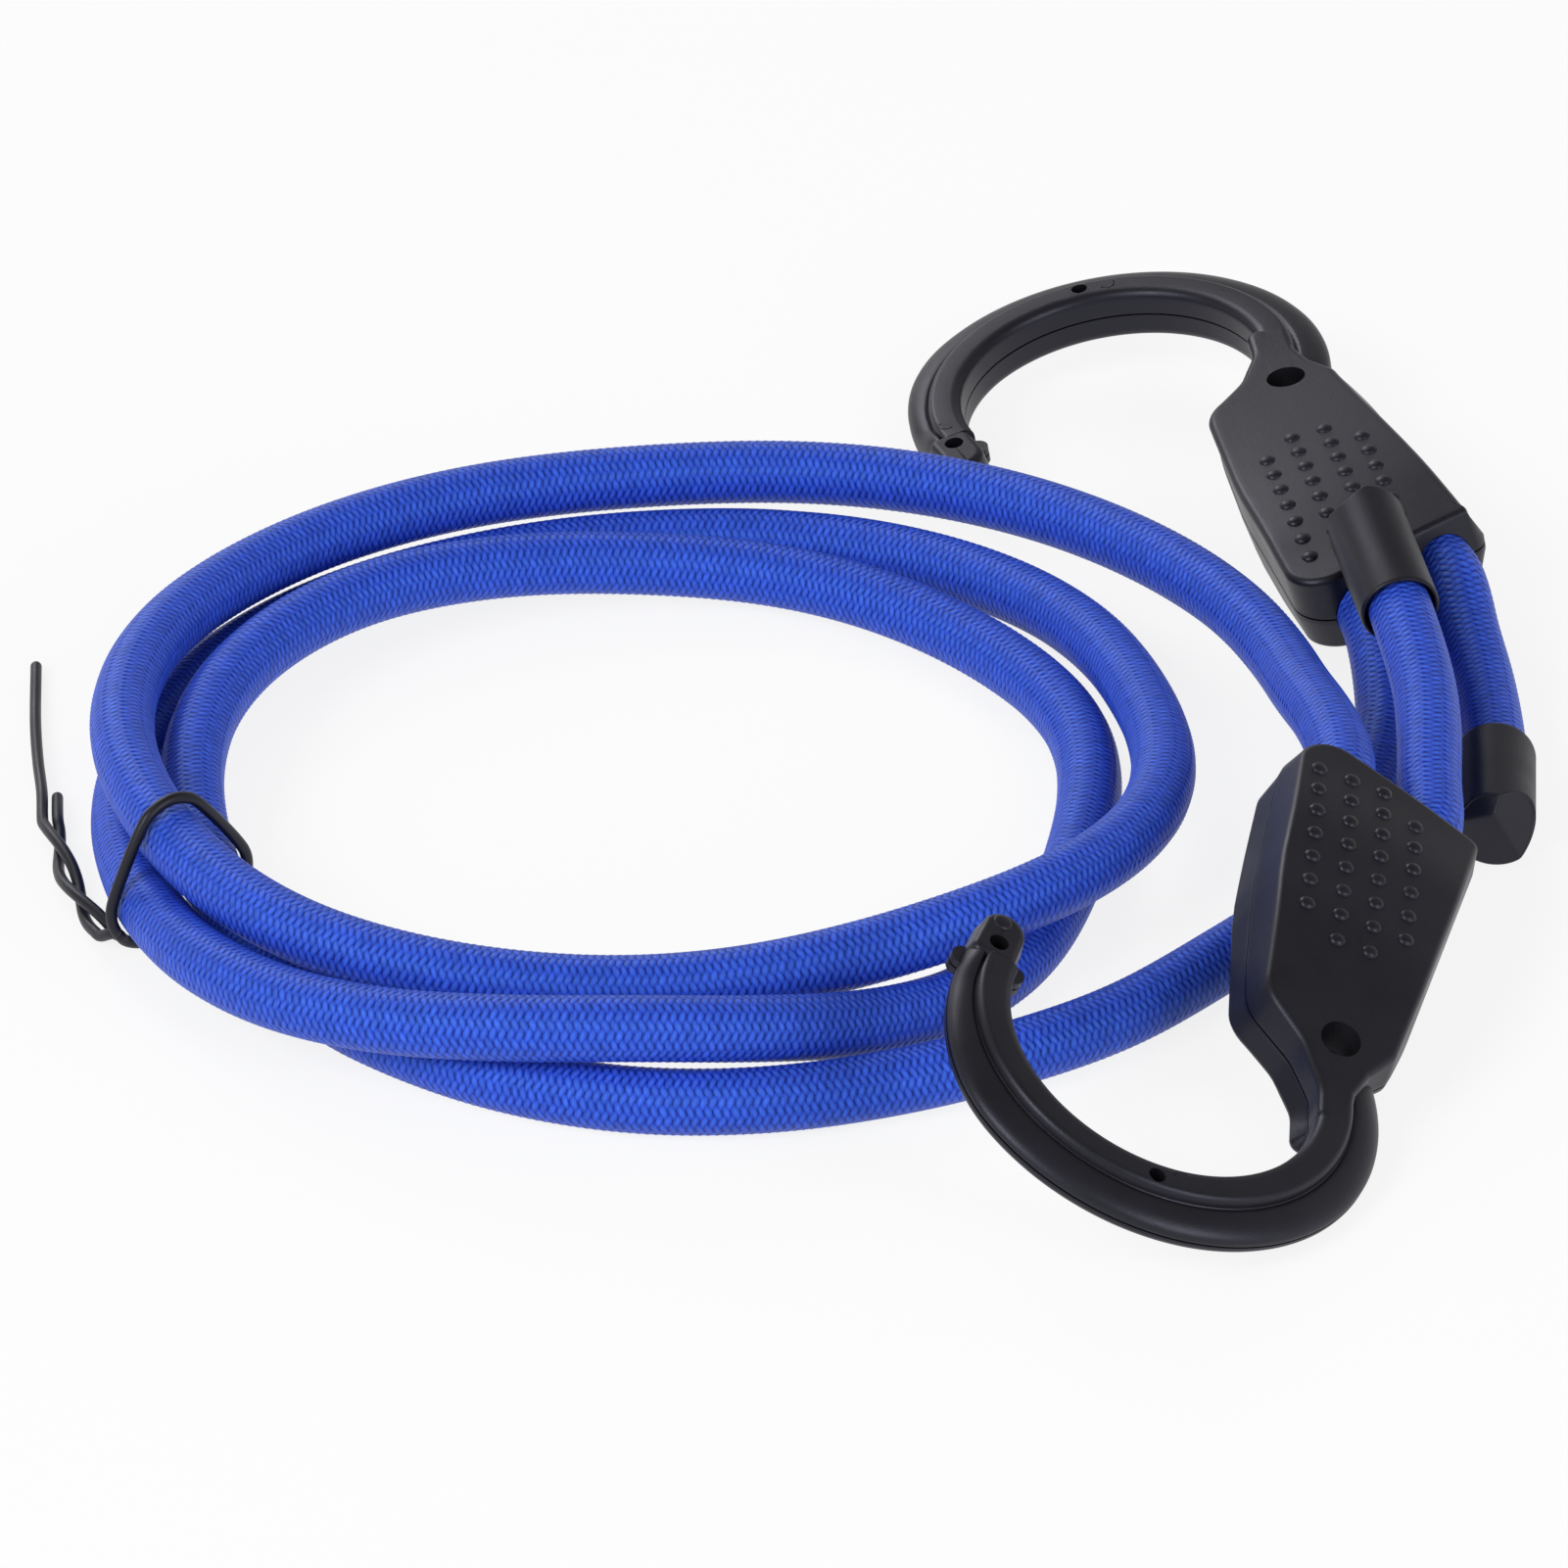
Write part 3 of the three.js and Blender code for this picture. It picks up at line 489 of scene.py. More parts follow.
def carved(first, joined, removed):
    """The first solid with others joined to it and others cut out of it."""
    base = loose_object(first)
    used = [base]
    for operation, surfaces in (("UNION", joined), ("DIFFERENCE", removed)):
        for surface in surfaces:
            other = loose_object(surface)
            change = base.modifiers.new(operation, "BOOLEAN")
            change.operation = operation
            change.solver = "MANIFOLD"
            change.object = other
            used.append(other)
    mesh = applied(base)
    surface = [tuple(v.co) for v in mesh.vertices], [tuple(f.vertices) for f in mesh.polygons]
    for old in used:
        bpy.data.objects.remove(old)
    return surface


def with_islands(surface, islands):
    """One surface that holds others too, each as it is."""
    vertices, faces = list(surface[0]), list(surface[1])
    for more_vertices, more_faces in islands:
        first = len(vertices)
        vertices += more_vertices
        faces += [tuple(first + i for i in face) for face in more_faces]
    return vertices, faces


def mirrored(surface):
    """The same surface on the other side of a hook's plane."""
    return [(u, v, -w) for u, v, w in surface[0]], [tuple(face)[::-1] for face in surface[1]]


def mesh_object(name, vertices, faces, uv=None):
    mesh = bpy.data.meshes.new(name)
    mesh.from_pydata([tuple(v) for v in vertices], [], faces)
    if uv is not None:
        layer = mesh.uv_layers.new(name="Weave")
        layer.data.foreach_set("uv", np.array(uv, np.float32).ravel())
    mesh.validate()
    mesh.update()
    mesh.shade_smooth()
    made = bpy.data.objects.new(name, mesh)
    bpy.context.scene.collection.objects.link(made)
    return made


def moulded_object(name, surface, matrix, material):
    """A plastic piece: smooth, with crisp lines only where its faces meet at a real angle."""
    vertices = [tuple(matrix @ Vector(v)) for v in surface[0]]
    made = mesh_object(name, vertices, surface[1])
    made.data.set_sharp_from_angle(angle=math.radians(SHARP_DEGREES))
    level = made.modifiers.new("level", "WEIGHTED_NORMAL")
    level.keep_sharp = True
    rough = made.data
    made.data = applied(made)
    made.modifiers.clear()
    bpy.data.meshes.remove(rough)
    made.data.name = name
    made.data.materials.clear()
    made.data.materials.append(material)
    return made


# The cord, with a woven surface

def float_height(rib, turn):
    """How high the yarns stand at a place: slanting floats in columns, set like bricks."""
    height = np.zeros(np.broadcast(rib, turn).shape)
    for shift, slant in ((0.0, FLOAT_SLANT), (0.5, -FLOAT_SLANT)):
        across = 2 * ((turn + 0.25 - shift) % 1.0 - 0.5)
        along = (rib + shift + slant * across) % 1.0 - 0.5
        hill = 1 - (2 * along) ** 2 - (across / FLOAT_REACH) ** 2
        height = np.maximum(height, hill)
    return height


def woven_tube(name, line, run_from, run_to, material):
    """The cord over the stretch of a line between two distances, closed at both ends."""
    first, last = round(run_from / RIB_PITCH), round(run_to / RIB_PITCH)
    spots = np.arange(first * RIB_ROWS, last * RIB_ROWS + 1) / RIB_ROWS
    centres = at_distances(line, spots * RIB_PITCH)
    steps = np.arange(int(distances(line)[-1] / RIB_PITCH) + 1)
    vectors = frames_along(at_distances(line, steps * RIB_PITCH))
    along, side, top = [
        np.stack([np.interp(spots, steps, kind[:, k]) for k in range(3)], axis=1)
        for kind in vectors
    ]
    share = np.arange(CORD_SIDES) / CORD_SIDES
    turn = 2 * math.pi * share[None, :] + (TWIST_PER_METRE * spots * RIB_PITCH)[:, None]
    hills = float_height(spots[:, None], share[None, :] * FLOAT_COLUMNS / 2)
    radii = CORD_DIAMETER / 2 - FLOAT_HEIGHT * (1 - hills)
    around = side[:, None, :] * np.cos(turn)[..., None] + top[:, None, :] * np.sin(turn)[..., None]
    vertices, faces = rows_surface(centres[:, None, :] + radii[..., None] * around)
    uv = []
    columns = np.arange(CORD_SIDES + 1) * FLOAT_COLUMNS / 2 / CORD_SIDES
    for i in range(len(spots) - 1):
        for low, high in zip(columns, columns[1:]):
            uv += [(spots[i], low), (spots[i], high), (spots[i + 1], high), (spots[i + 1], low)]
    uv += [(spots[0], 0.0)] * CORD_SIDES + [(spots[-1], 0.0)] * CORD_SIDES
    made = mesh_object(name, vertices, faces, uv)
    made.data.materials.append(material)
    path_points = max(PATH_POINTS_LEAST, int((run_to - run_from) / PATH_SPACING))
    path = at_distances(line, np.linspace(run_from, run_to, path_points))
    return made, [tuple(p) for p in path]


# The hooks

def eased_step(x, low, high):
    """Nought up to the low limit, one from the high limit, and a soft rise between them."""
    share = min(max((x - low) / (high - low), 0.0), 1.0)
    return share * share * (3 - 2 * share)


def rounded_outline(corners):
    """The even outline of a shape with round corners."""
    outline = []
    for i, (u, v, rounding) in enumerate(corners):
        here = np.array((u, v))
        back = np.array(corners[i - 1][:2]) - here
        ahead = np.array(corners[(i + 1) % len(corners)][:2]) - here
        back /= np.linalg.norm(back)
        ahead /= np.linalg.norm(ahead)
        half = math.acos(np.clip(back @ ahead, -1, 1)) / 2
        middle = (back + ahead) / np.linalg.norm(back + ahead) * rounding / math.sin(half)
        centre = here + middle
        start = here + back * rounding / math.tan(half) - centre
        end = here + ahead * rounding / math.tan(half) - centre
        turn = math.atan2(start[0] * end[1] - start[1] * end[0], start @ end)
        steps = max(1, round(abs(math.degrees(turn)) / ARC_DEGREES))
        for k in range(steps + 1):
            c, s = math.cos(turn * k / steps), math.sin(turn * k / steps)
            outline.append(centre + (start[0] * c - start[1] * s, start[0] * s + start[1] * c))
    even = []
    for here, following in zip(outline, outline[1:] + outline[:1]):
        pieces = max(1, round(np.linalg.norm(following - here) / OUTLINE_SPACING))
        even += [here + (following - here) * k / pieces for k in range(pieces)]
    return np.array(even)


def outward(outline):
    """The way out of an outline at each of its points."""
    along = np.roll(outline, -1, axis=0) - np.roll(outline, 1, axis=0)
    along /= np.linalg.norm(along, axis=1)[:, None]
    return np.stack([along[:, 1], -along[:, 0]], axis=1)


def body_top(face, u, v):
    """How high one face of a hook's body lies: thin at the neck, domed, lower at the wide end."""
    rise = eased_step(u, *face["bulge"])
    fall = eased_step(u, FALL_START, FALL_END)
    middle = CROWN_CENTRE[1] + (u - CROWN_CENTRE[0]) * CROWN_SLOPE
    off = (v - middle) / (BODY_WIDTH / 2)
    dome_height = LAND_HALF + (DOME_HALF - LAND_HALF) * rise
    return dome_height - fall * face["end_fall"] - CROWN_DROP * rise * off * off


def body_flare(face, outline, out):
    """How far a body's top edge stands outside the common outline."""
    even, sided = face["flare"]
    full = np.array([eased_step(u, FLARE_START, FLARE_FULL) for u in outline[:, 0]])
    return even * full + sided * np.where(out[:, 1] > 0, out[:, 1], out[:, 1] * full)


def plate(outline, top_at, draft_at, centre, flare_at=None):
    """A thick plate: leaning walls, a round top edge and a top of any height."""
    out = outward(outline)
    rows = []

    def add_row(spots, drop, height=None):
        rows.append([(u, v, height or top_at(u, v) - drop) for u, v in spots])

    leaning = outline + out * np.array([draft_at(u) for u in outline[:, 0]])[:, None]
    add_row(leaning, 0.0, SEAM_GAP / 2)
    add_row(leaning, 0.0, LIP_HEIGHT)
    if flare_at:
        outline = outline + out * flare_at(outline, out)[:, None]
    for k in range(EDGE_STEPS + 1):
        angle = math.pi / 2 * k / EDGE_STEPS
        add_row(outline - out * EDGE_ROUND * (1 - math.cos(angle)), EDGE_ROUND * (1 - math.sin(angle)))
    inner = outline - out * EDGE_ROUND
    for share in TOP_SHARES:
        add_row(inner + (np.array(centre) - inner) * share, 0.0)
    return rows_surface(rows)


def ring_surface():
    """The ring: towards its tip the flange narrows, and then rises into the knob."""
    rows = []
    for degrees in np.linspace(RING_FROM, RING_TO, RING_STEPS):
        narrow = 1 - FLANGE_NARROWING * (1 - eased_step(degrees, *NARROWING_ANGLES))
        raised = 1 + FLANGE_RISE * (1 - eased_step(degrees, *RISE_ANGLES))
        c, s = math.cos(math.radians(degrees)), math.sin(math.radians(degrees))
        row = []
        for radius, height in RING_SECTION[::-1]:
            if radius > FLANGE_ROOT:
                radius = FLANGE_ROOT + (radius - FLANGE_ROOT) * narrow
                height = min(height * raised, LAND_HALF) if height > LIP_HEIGHT else height
            row.append((RING_CENTRE[0] + radius * c, RING_CENTRE[1] + radius * s, height))
        rows.append(row)
    return rows_surface(rows)


def dome(u, v, foot, radius, height):
    """A small round bump that stands on a face."""
    rows = []
    for k in range(DOT_ROWS + 1):
        angle = math.pi / 2 * k / (DOT_ROWS + 0.5)
        reach = radius * math.cos(angle) ** DOT_FULLNESS
        level = foot - DOT_ROOT + (height + DOT_ROOT) * math.sin(angle)
        turn = 2 * math.pi * np.arange(DOT_SIDES) / DOT_SIDES
        rows.append([(u + reach * math.cos(a), v + reach * math.sin(a), level) for a in turn])
    return rows_surface(rows)


def grip_dots(face):
    """The slanting rows of dots on one face."""
    dots = []
    step_u, step_v = face["dot_step"]
    for first_u, first_v, count in face["dots"]:
        for i in range(count):
            u, v = first_u + i * step_u, first_v + i * step_v
            dots.append(dome(u, v, body_top(face, u, v), DOT_RADIUS, DOT_HEIGHT))
    return dots


def hook_inside():
    """What is cut out for the cord, the pin and the wire."""
    radius = (MOUTH_MAIN - MOUTH_TAIL) / 2
    middle = (BEND_CENTRE, MOUTH_TAIL + radius)
    bend = [(BEND_REACH, MOUTH_MAIN, 0.0)]
    bend += plane_arc(middle, radius, 90.0, 270.0, step=BEND_STEP)
    bend.append((BEND_REACH, MOUTH_TAIL, 0.0))
    cuts = [tube(bend, CHANNEL_RADIUS, ROUND_SIDES)]
    for v in (MOUTH_MAIN, MOUTH_TAIL):
        cuts.append(tube([(BEND_REACH, v, 0.0), (MOUTH_OUTER, v, 0.0)], MOUTH_RADIUS, ROUND_SIDES))
    pin_top = PIN_HALF + CLEARANCE
    cuts.append(upright(*middle, PIN_RADIUS + CLEARANCE, -pin_top, pin_top))
    wire = plane_arc(RING_CENTRE, WIRE_RING, WIRE_FROM - WIRE_END, WIRE_TO + WIRE_END)
    cuts.append(tube(wire, WIRE_RADIUS + CLEARANCE, DOT_SIDES))
    return cuts


def half_hook(face):
    """One half shell of a hook, in millimetres above its plane."""
    body = plate(
        rounded_outline(BODY_CORNERS),
        lambda u, v: body_top(face, u, v),
        lambda u: WALL_DRAFT * eased_step(u, DRAFT_START, DRAFT_FULL),
        CROWN_CENTRE,
        lambda outline, out: body_flare(face, outline, out),
    )
    knob = plate(rounded_outline(KNOB_CORNERS), lambda u, v: LAND_HALF, lambda u: KNOB_DRAFT, KNOB_CENTRE)
    joined = [ring_surface(), knob]
    joined += [upright(u, v, LUG_RADIUS, SEAM_GAP / 2, LUG_HALF) for u, v in LUGS]
    removed = [upright(0.0, 0.0, NECK_HOLE, -CUT_REACH, CUT_REACH)]
    removed += [upright(u, v, radius, PIN_HOLE_FLOOR, CUT_REACH) for u, v, radius in PIN_HOLES]
    for u, v, facing in MARKS[face["side"]]:
        arc = plane_arc((u, v), MARK_RADIUS, facing - MARK_HALF, facing + MARK_HALF, LAND_HALF, MARK_STEP)
        removed.append(tube(arc, MARK_WIRE, MARK_SIDES))
    removed += hook_inside()
    shell = carved(body, joined, removed)
    bumps = grip_dots(face)
    if face["side"] > 0:
        bumps.append(dome(*BUMP_PLACE, LAND_HALF, BUMP_RADIUS, BUMP_HEIGHT))
    shell = with_islands(shell, bumps)
    return shell if face["side"] > 0 else mirrored(shell)


# The end caps

def cap_top(x, z):
    """Height of a cap's closed end: slanting faces that meet in soft ridges."""
    heights = [CAP_LENGTH]
    across, up = x - FACET_TIP[0], z - FACET_TIP[1]
    for degrees, slope in FACETS:
        turn = math.radians(degrees)
        away = across * math.cos(turn) + up * math.sin(turn)
        heights.append(CAP_LENGTH - math.tan(math.radians(slope)) * away)
    total = sum(math.exp(-FACET_BLEND * (height - CAP_LENGTH)) for height in heights)
    return CAP_LENGTH - math.log(total) / FACET_BLEND


def cap_surface():
    """A sleeve with a thin rim, closed by slanting faces, in millimetres along Y."""
    turn = 2 * math.pi * np.arange(CAP_SIDES) / CAP_SIDES

    def ring(radius, height_at):
        spots = [(radius * math.sin(a), radius * math.cos(a)) for a in turn]
        return [(x, height_at(x, z), z) for x, z in spots]

    rows = [ring(radius, lambda x, z, level=height: level) for radius, height in CAP_SECTION]
    shoulder = CAP_RADIUS - CAP_ROUND
    for k in range(CAP_ROUND_STEPS + 1):
        angle = math.pi / 2 * k / CAP_ROUND_STEPS
        drop = CAP_ROUND * (1 - math.sin(angle))
        radius = shoulder + CAP_ROUND * math.cos(angle)
        inward = shoulder / radius
        rows.append(ring(radius, lambda x, z, i=inward, d=drop: cap_top(x * i, z * i) - d))
    for k in range(1, CAP_TOP_ROWS):
        rows.append(ring(shoulder * (1 - k / CAP_TOP_ROWS), cap_top))
    return rows_surface(rows)


def cap_matrix(cap):
    """From a cap's own millimetres to metres in the frame."""
    start, end = Vector(cap["open"]), Vector(cap["closed"])
    turn = Vector((0.0, 1.0, 0.0)).rotation_difference((end - start).normalized())
    roll = Matrix.Rotation(-math.radians(cap["roll"]), 4, "Y")
    return Matrix.Translation(start) @ turn.to_matrix().to_4x4() @ roll @ Matrix.Scale(MM, 4)


# The wire tie

def nearest(line, spot):
    return line[np.argmin(np.linalg.norm(line - np.array(spot), axis=1))]


def tie_loop(line):
    """The loop round the three strands of the coil, in the plane across them."""
    turn = FULL_TURN / STATION_DEGREES
    strands = np.array([nearest(line, coil_point(TIE_STATION + k * turn)) for k in range(COIL_TURNS)])
    angle = math.radians(TIE_STATION * STATION_DEGREES)
    out, up = np.array((math.cos(angle), math.sin(angle), 0.0)), np.array((0.0, 0.0, 1.0))
    reach = CORD_DIAMETER / 2 + (TIE_SLACK + TIE_RADIUS) * MM
    loop = []
    for degrees in range(TIE_LOOP_START, TIE_LOOP_START + FULL_TURN + 1, TIE_LOOP_STEP):
        facing = out * math.cos(math.radians(degrees)) + up * math.sin(math.radians(degrees))
        furthest = strands[np.argmax(strands @ facing)]
        loop.append(furthest + facing * reach)
    return loop


def tie_twist(phase):
    """One of the two wires of the twist, which wind round the same line."""
    path = smooth_line(np.array(TIE_TWIST_PATH) * MM, TIE_TWIST_PIECES)
    line = at_distances(path, np.linspace(0.0, distances(path)[-1], TIE_TWIST_STEPS + 1))
    along, side, top = frames_along(line)
    angles = phase + 2 * math.pi * TIE_TWISTS * np.arange(TIE_TWIST_STEPS + 1) / TIE_TWIST_STEPS
    reach = TIE_TWIST_RADIUS * MM
    return list(line - side * reach * np.cos(angles)[:, None] + top * reach * np.sin(angles)[:, None])


def tie_surface(line):
    """The whole wire: short end, twist, loop round the strands, twist, long end, and round tips."""
    points = [
        *(np.array(TIE_SHORT_END) * MM),
        *tie_twist(0.0)[::-1],
        *tie_loop(line),
        *tie_twist(math.pi),
        *(np.array(TIE_LONG_END) * MM),
    ]
    wire = smooth_line(points, TIE_PIECES)
    run = distances(wire)[-1]
    radius = TIE_RADIUS * MM
    tips = np.radians(TIE_TIP_DEGREES)
    cut = radius * (1 - np.cos(tips))
    middle = np.linspace(radius, run - radius, int(run / (TIE_STEP * MM)))
    spots = np.concatenate([cut, middle, run - cut[::-1]])
    radii = np.concatenate([np.sin(tips), np.ones(len(middle)), np.sin(tips)[::-1]]) * radius
    return rows_surface(round_rows(at_distances(wire, spots), radii, TIE_SIDES))


# Materials

def new_material(name):
    material = bpy.data.materials.new(name)
    material.use_nodes = True
    material.node_tree.nodes.clear()
    return material, material.node_tree.nodes, material.node_tree.links


def principled(nodes, links, **values):
    shader = nodes.new("ShaderNodeBsdfPrincipled")
    output = nodes.new("ShaderNodeOutputMaterial")
    links.new(shader.outputs["BSDF"], output.inputs["Surface"])
    for key, value in values.items():
        shader.inputs[key.replace("_", " ")].default_value = value
    return shader


def maths(nodes, links, operation, first, second=None):
    """One calculation with one or two values, each a number or another node's output."""
    node = nodes.new("ShaderNodeMath")
    node.operation = operation
    for index, value in enumerate((first, second)):
        if value is None:
            continue
        if isinstance(value, (int, float)):
            node.inputs[index].default_value = value
        else:
            links.new(value, node.inputs[index])
    return node.outputs[0]


def ramp(nodes, links, source, stops):
    """Colours that follow a value, by stops of place and colour."""
    node = nodes.new("ShaderNodeValToRGB")
    links.new(source, node.inputs["Fac"])
    elements = node.color_ramp.elements
    while len(elements) < len(stops):
        elements.new(0.5)
    for element, (place, colour) in zip(elements, stops):
        element.position = place
        element.color = (*colour, 1.0)
    return node.outputs["Color"]


def grey(value):
    return (value, value, value)


def greys(stops):
    return [(place, grey(value)) for place, value in stops]


def noise(nodes, links, vector, scale, detail, rough):
    node = nodes.new("ShaderNodeTexNoise")
    node.inputs["Scale"].default_value = scale
    node.inputs["Detail"].default_value = detail
    node.inputs["Roughness"].default_value = rough
    links.new(vector, node.inputs["Vector"])
    return node.outputs["Fac"]


def mixed(nodes, links, blend, factor, first, second):
    node = nodes.new("ShaderNodeMix")
    node.data_type = "RGBA"
    node.blend_type = blend
    inputs = [s for s in node.inputs if s.enabled]
    for socket, value in zip(inputs, (factor, first, second)):
        if isinstance(value, float):
            socket.default_value = value
        else:
            links.new(value, socket)
    return [s for s in node.outputs if s.enabled][0]


def bumped(nodes, links, shader, height, strength, distance):
    node = nodes.new("ShaderNodeBump")
    node.inputs["Strength"].default_value = strength
    node.inputs["Distance"].default_value = distance
    links.new(height, node.inputs["Height"])
    links.new(node.outputs["Normal"], shader.inputs["Normal"])


def float_hill(nodes, links, rib, turn, shift, slant):
    """The height of one set of yarn floats, as in the cord's own surface."""
    moved = maths(nodes, links, "ADD", turn, 0.25 - shift)
    across = maths(nodes, links, "SUBTRACT", maths(nodes, links, "FRACT", moved), 0.5)
    lean = maths(nodes, links, "MULTIPLY", across, 2 * slant)
    place = maths(nodes, links, "ADD", maths(nodes, links, "ADD", rib, lean), shift)
    along = maths(nodes, links, "SUBTRACT", maths(nodes, links, "FRACT", place), 0.5)
    width = maths(nodes, links, "POWER", maths(nodes, links, "MULTIPLY", along, 2.0), 2.0)
    reach = maths(nodes, links, "POWER", maths(nodes, links, "MULTIPLY", across, 2 / FLOAT_REACH), 2.0)
    return maths(nodes, links, "SUBTRACT", maths(nodes, links, "SUBTRACT", 1.0, width), reach)


def braid_material():
    """The woven sheath: the floats of its surface again, with their fibres and uneven colour, and painted
    shade in the grooves rising to a painted highlight on the float tops.
    """
    material, nodes, links = new_material("braid")
    shader = principled(
        nodes, links, Roughness=WEAVE_ROUGHNESS, Specular_IOR_Level=0.5, Specular_Tint=WEAVE_SHINE,
    )
    uv = nodes.new("ShaderNodeUVMap")
    uv.uv_map = "Weave"
    split = nodes.new("ShaderNodeSeparateXYZ")
    links.new(uv.outputs["UV"], split.inputs["Vector"])
    rib, turn = split.outputs["X"], split.outputs["Y"]
    # yarns lie a little unevenly
    wander = noise(nodes, links, uv.outputs["UV"], *WANDER_NOISE)
    uneven = maths(nodes, links, "ADD", rib, maths(nodes, links, "MULTIPLY", wander, WEAVE_WANDER))
    rib_at = maths(nodes, links, "SUBTRACT", uneven, WEAVE_WANDER / 2)
    hill = maths(
        nodes, links, "MAXIMUM",
        float_hill(nodes, links, rib_at, turn, 0.0, FLOAT_SLANT),
        float_hill(nodes, links, rib_at, turn, 0.5, -FLOAT_SLANT),
    )
    # fibres run along each float
    fibre_at = nodes.new("ShaderNodeCombineXYZ")
    links.new(maths(nodes, links, "MULTIPLY", rib, FIBRES_PER_RIB), fibre_at.inputs["X"])
    links.new(maths(nodes, links, "MULTIPLY", turn, FIBRES_PER_TURN), fibre_at.inputs["Y"])
    fibre = noise(nodes, links, fibre_at.outputs["Vector"], *FIBRE_NOISE)
    patch = noise(nodes, links, uv.outputs["UV"], *PATCH_NOISE)
    # painted shade in the grooves and painted highlight on the float tops: the colour follows the float
    # height
    base = ramp(nodes, links, hill, WEAVE_SHADE_AND_HIGHLIGHT)
    shade = ramp(nodes, links, fibre, greys(FIBRE_SHADES))
    patches = ramp(nodes, links, patch, greys(PATCH_SHADES))
    shaded = mixed(nodes, links, "MULTIPLY", 1.0, base, shade)
    colour = mixed(nodes, links, "MULTIPLY", 1.0, shaded, patches)
    links.new(colour, shader.inputs["Base Color"])
    height = maths(nodes, links, "ADD", hill, maths(nodes, links, "MULTIPLY", fibre, FIBRE_HEIGHT))
    bumped(nodes, links, shader, height, WEAVE_BUMP, WEAVE_DEPTH)
    return material


def plastic_material(name, colour, roughness, pebble):
    """Satin plastic, broadly uneven in colour and shine and finely pebbled."""
    material, nodes, links = new_material(name)
    shader = principled(nodes, links, Specular_IOR_Level=0.42, Specular_Tint=PLASTIC_SHINE)
    place = nodes.new("ShaderNodeTexCoord").outputs["Object"]
    broad = noise(nodes, links, place, *BLOTCH_NOISE)
    fine = noise(nodes, links, place, *PEBBLE_NOISE)
    base = ramp(nodes, links, broad, [
        (0.35, tuple(c * (1 - PLASTIC_CHANGE) for c in colour)),
        (0.65, tuple(c * (1 + PLASTIC_CHANGE) for c in colour)),
    ])
    links.new(base, shader.inputs["Base Color"])
    rough = ramp(nodes, links, broad, greys([(0.3, roughness - SMOOTHER), (0.7, roughness + ROUGHER)]))
    links.new(rough, shader.inputs["Roughness"])
    bumped(nodes, links, shader, fine, pebble, PEBBLE_DEPTH)
    return material


def steel_material():
    material, nodes, links = new_material("drawn_steel")
    shader = principled(nodes, links, Metallic=1.0)
    place = nodes.new("ShaderNodeTexCoord").outputs["Object"]
    streak = noise(nodes, links, place, *STREAK_NOISE)
    links.new(ramp(nodes, links, streak, greys(STEEL_SHADES)), shader.inputs["Base Color"])
    links.new(ramp(nodes, links, streak, greys(STEEL_ROUGHNESS)), shader.inputs["Roughness"])
    return material


BRAID = braid_material()
HOOK_PLASTIC = plastic_material("hook_plastic", HOOK_COLOUR, HOOK_ROUGHNESS, HOOK_PEBBLE)
CAP_PLASTIC = plastic_material("cap_plastic", CAP_COLOUR, CAP_ROUGHNESS, CAP_PEBBLE)
TIE_PLASTIC = plastic_material("tie_plastic", TIE_COLOUR, TIE_ROUGHNESS, TIE_PEBBLE)
STEEL = steel_material()


# The camera

camera = bpy.data.objects.new("camera", bpy.data.cameras.new("camera"))
bpy.context.scene.collection.objects.link(camera)
camera.location = CAMERA_PLACE
camera.rotation_euler = (Vector(CAMERA_TARGET) - Vector(CAMERA_PLACE)).to_track_quat("-Z", "Y").to_euler()
camera.data.lens = LENS
camera.data.sensor_width = SENSOR
camera.data.clip_start = CLIP_START
camera.data.clip_end = CLIP_END
bpy.context.scene.camera = camera

# The cords

coil_controls = [coil_point(i / STEPS_PER_STATION) for i in range(COIL_STEPS + 1)]
main_line = eased(smooth_line(
    [
        on_hook(FRONT_HOOK, MOUTH_START, MOUTH_MAIN),
        on_hook(FRONT_HOOK, MOUTH_TIP, MOUTH_MAIN),
        *FRONT_LEAD_POINTS,
        *coil_controls,
        *REAR_LEAD_POINTS,
        on_hook(REAR_HOOK, MOUTH_TIP, MOUTH_MAIN),
        on_hook(REAR_HOOK, MOUTH_START, MOUTH_MAIN),
    ],
    LINE_PIECES,
))
main_length = distances(main_line)[-1]


def tail_line(hook, points, cap):
    """The middle of the cord from a hook's mouth into a cap."""
    start, end = np.array(cap["open"]), np.array(cap["closed"])
    axis = (end - start) / np.linalg.norm(end - start)
    return smooth_line(
        [
            on_hook(hook, MOUTH_START, MOUTH_TAIL),
            on_hook(hook, MOUTH_TIP, MOUTH_TAIL),
            *points,
            start,
            start + axis * CORD_IN_CAP,
        ],
        LINE_PIECES,
    )


coil_end = main_length - REAR_LEAD_LENGTH
front_lead, front_lead_path = woven_tube("front_lead", main_line, 0.0, FRONT_LEAD_LENGTH, BRAID)
coil, coil_path = woven_tube("coil", main_line, FRONT_LEAD_LENGTH, coil_end, BRAID)
rear_lead, rear_lead_path = woven_tube("rear_lead", main_line, coil_end, main_length, BRAID)

front_tail_line = tail_line(FRONT_HOOK, FRONT_TAIL_POINTS, FRONT_CAP)
rear_tail_line = tail_line(REAR_HOOK, REAR_TAIL_POINTS, REAR_CAP)
front_end = distances(front_tail_line)[-1]
rear_end = distances(rear_tail_line)[-1]
front_tail_near, _ = woven_tube("front_tail_near", front_tail_line, 0.0, FRONT_TAIL_NEAR, BRAID)
front_tail, front_tail_path = woven_tube("front_tail", front_tail_line, FRONT_TAIL_NEAR, front_end, BRAID)
rear_tail_near, _ = woven_tube("rear_tail_near", rear_tail_line, 0.0, REAR_TAIL_NEAR, BRAID)
rear_tail, rear_tail_path = woven_tube("rear_tail", rear_tail_line, REAR_TAIL_NEAR, rear_end, BRAID)

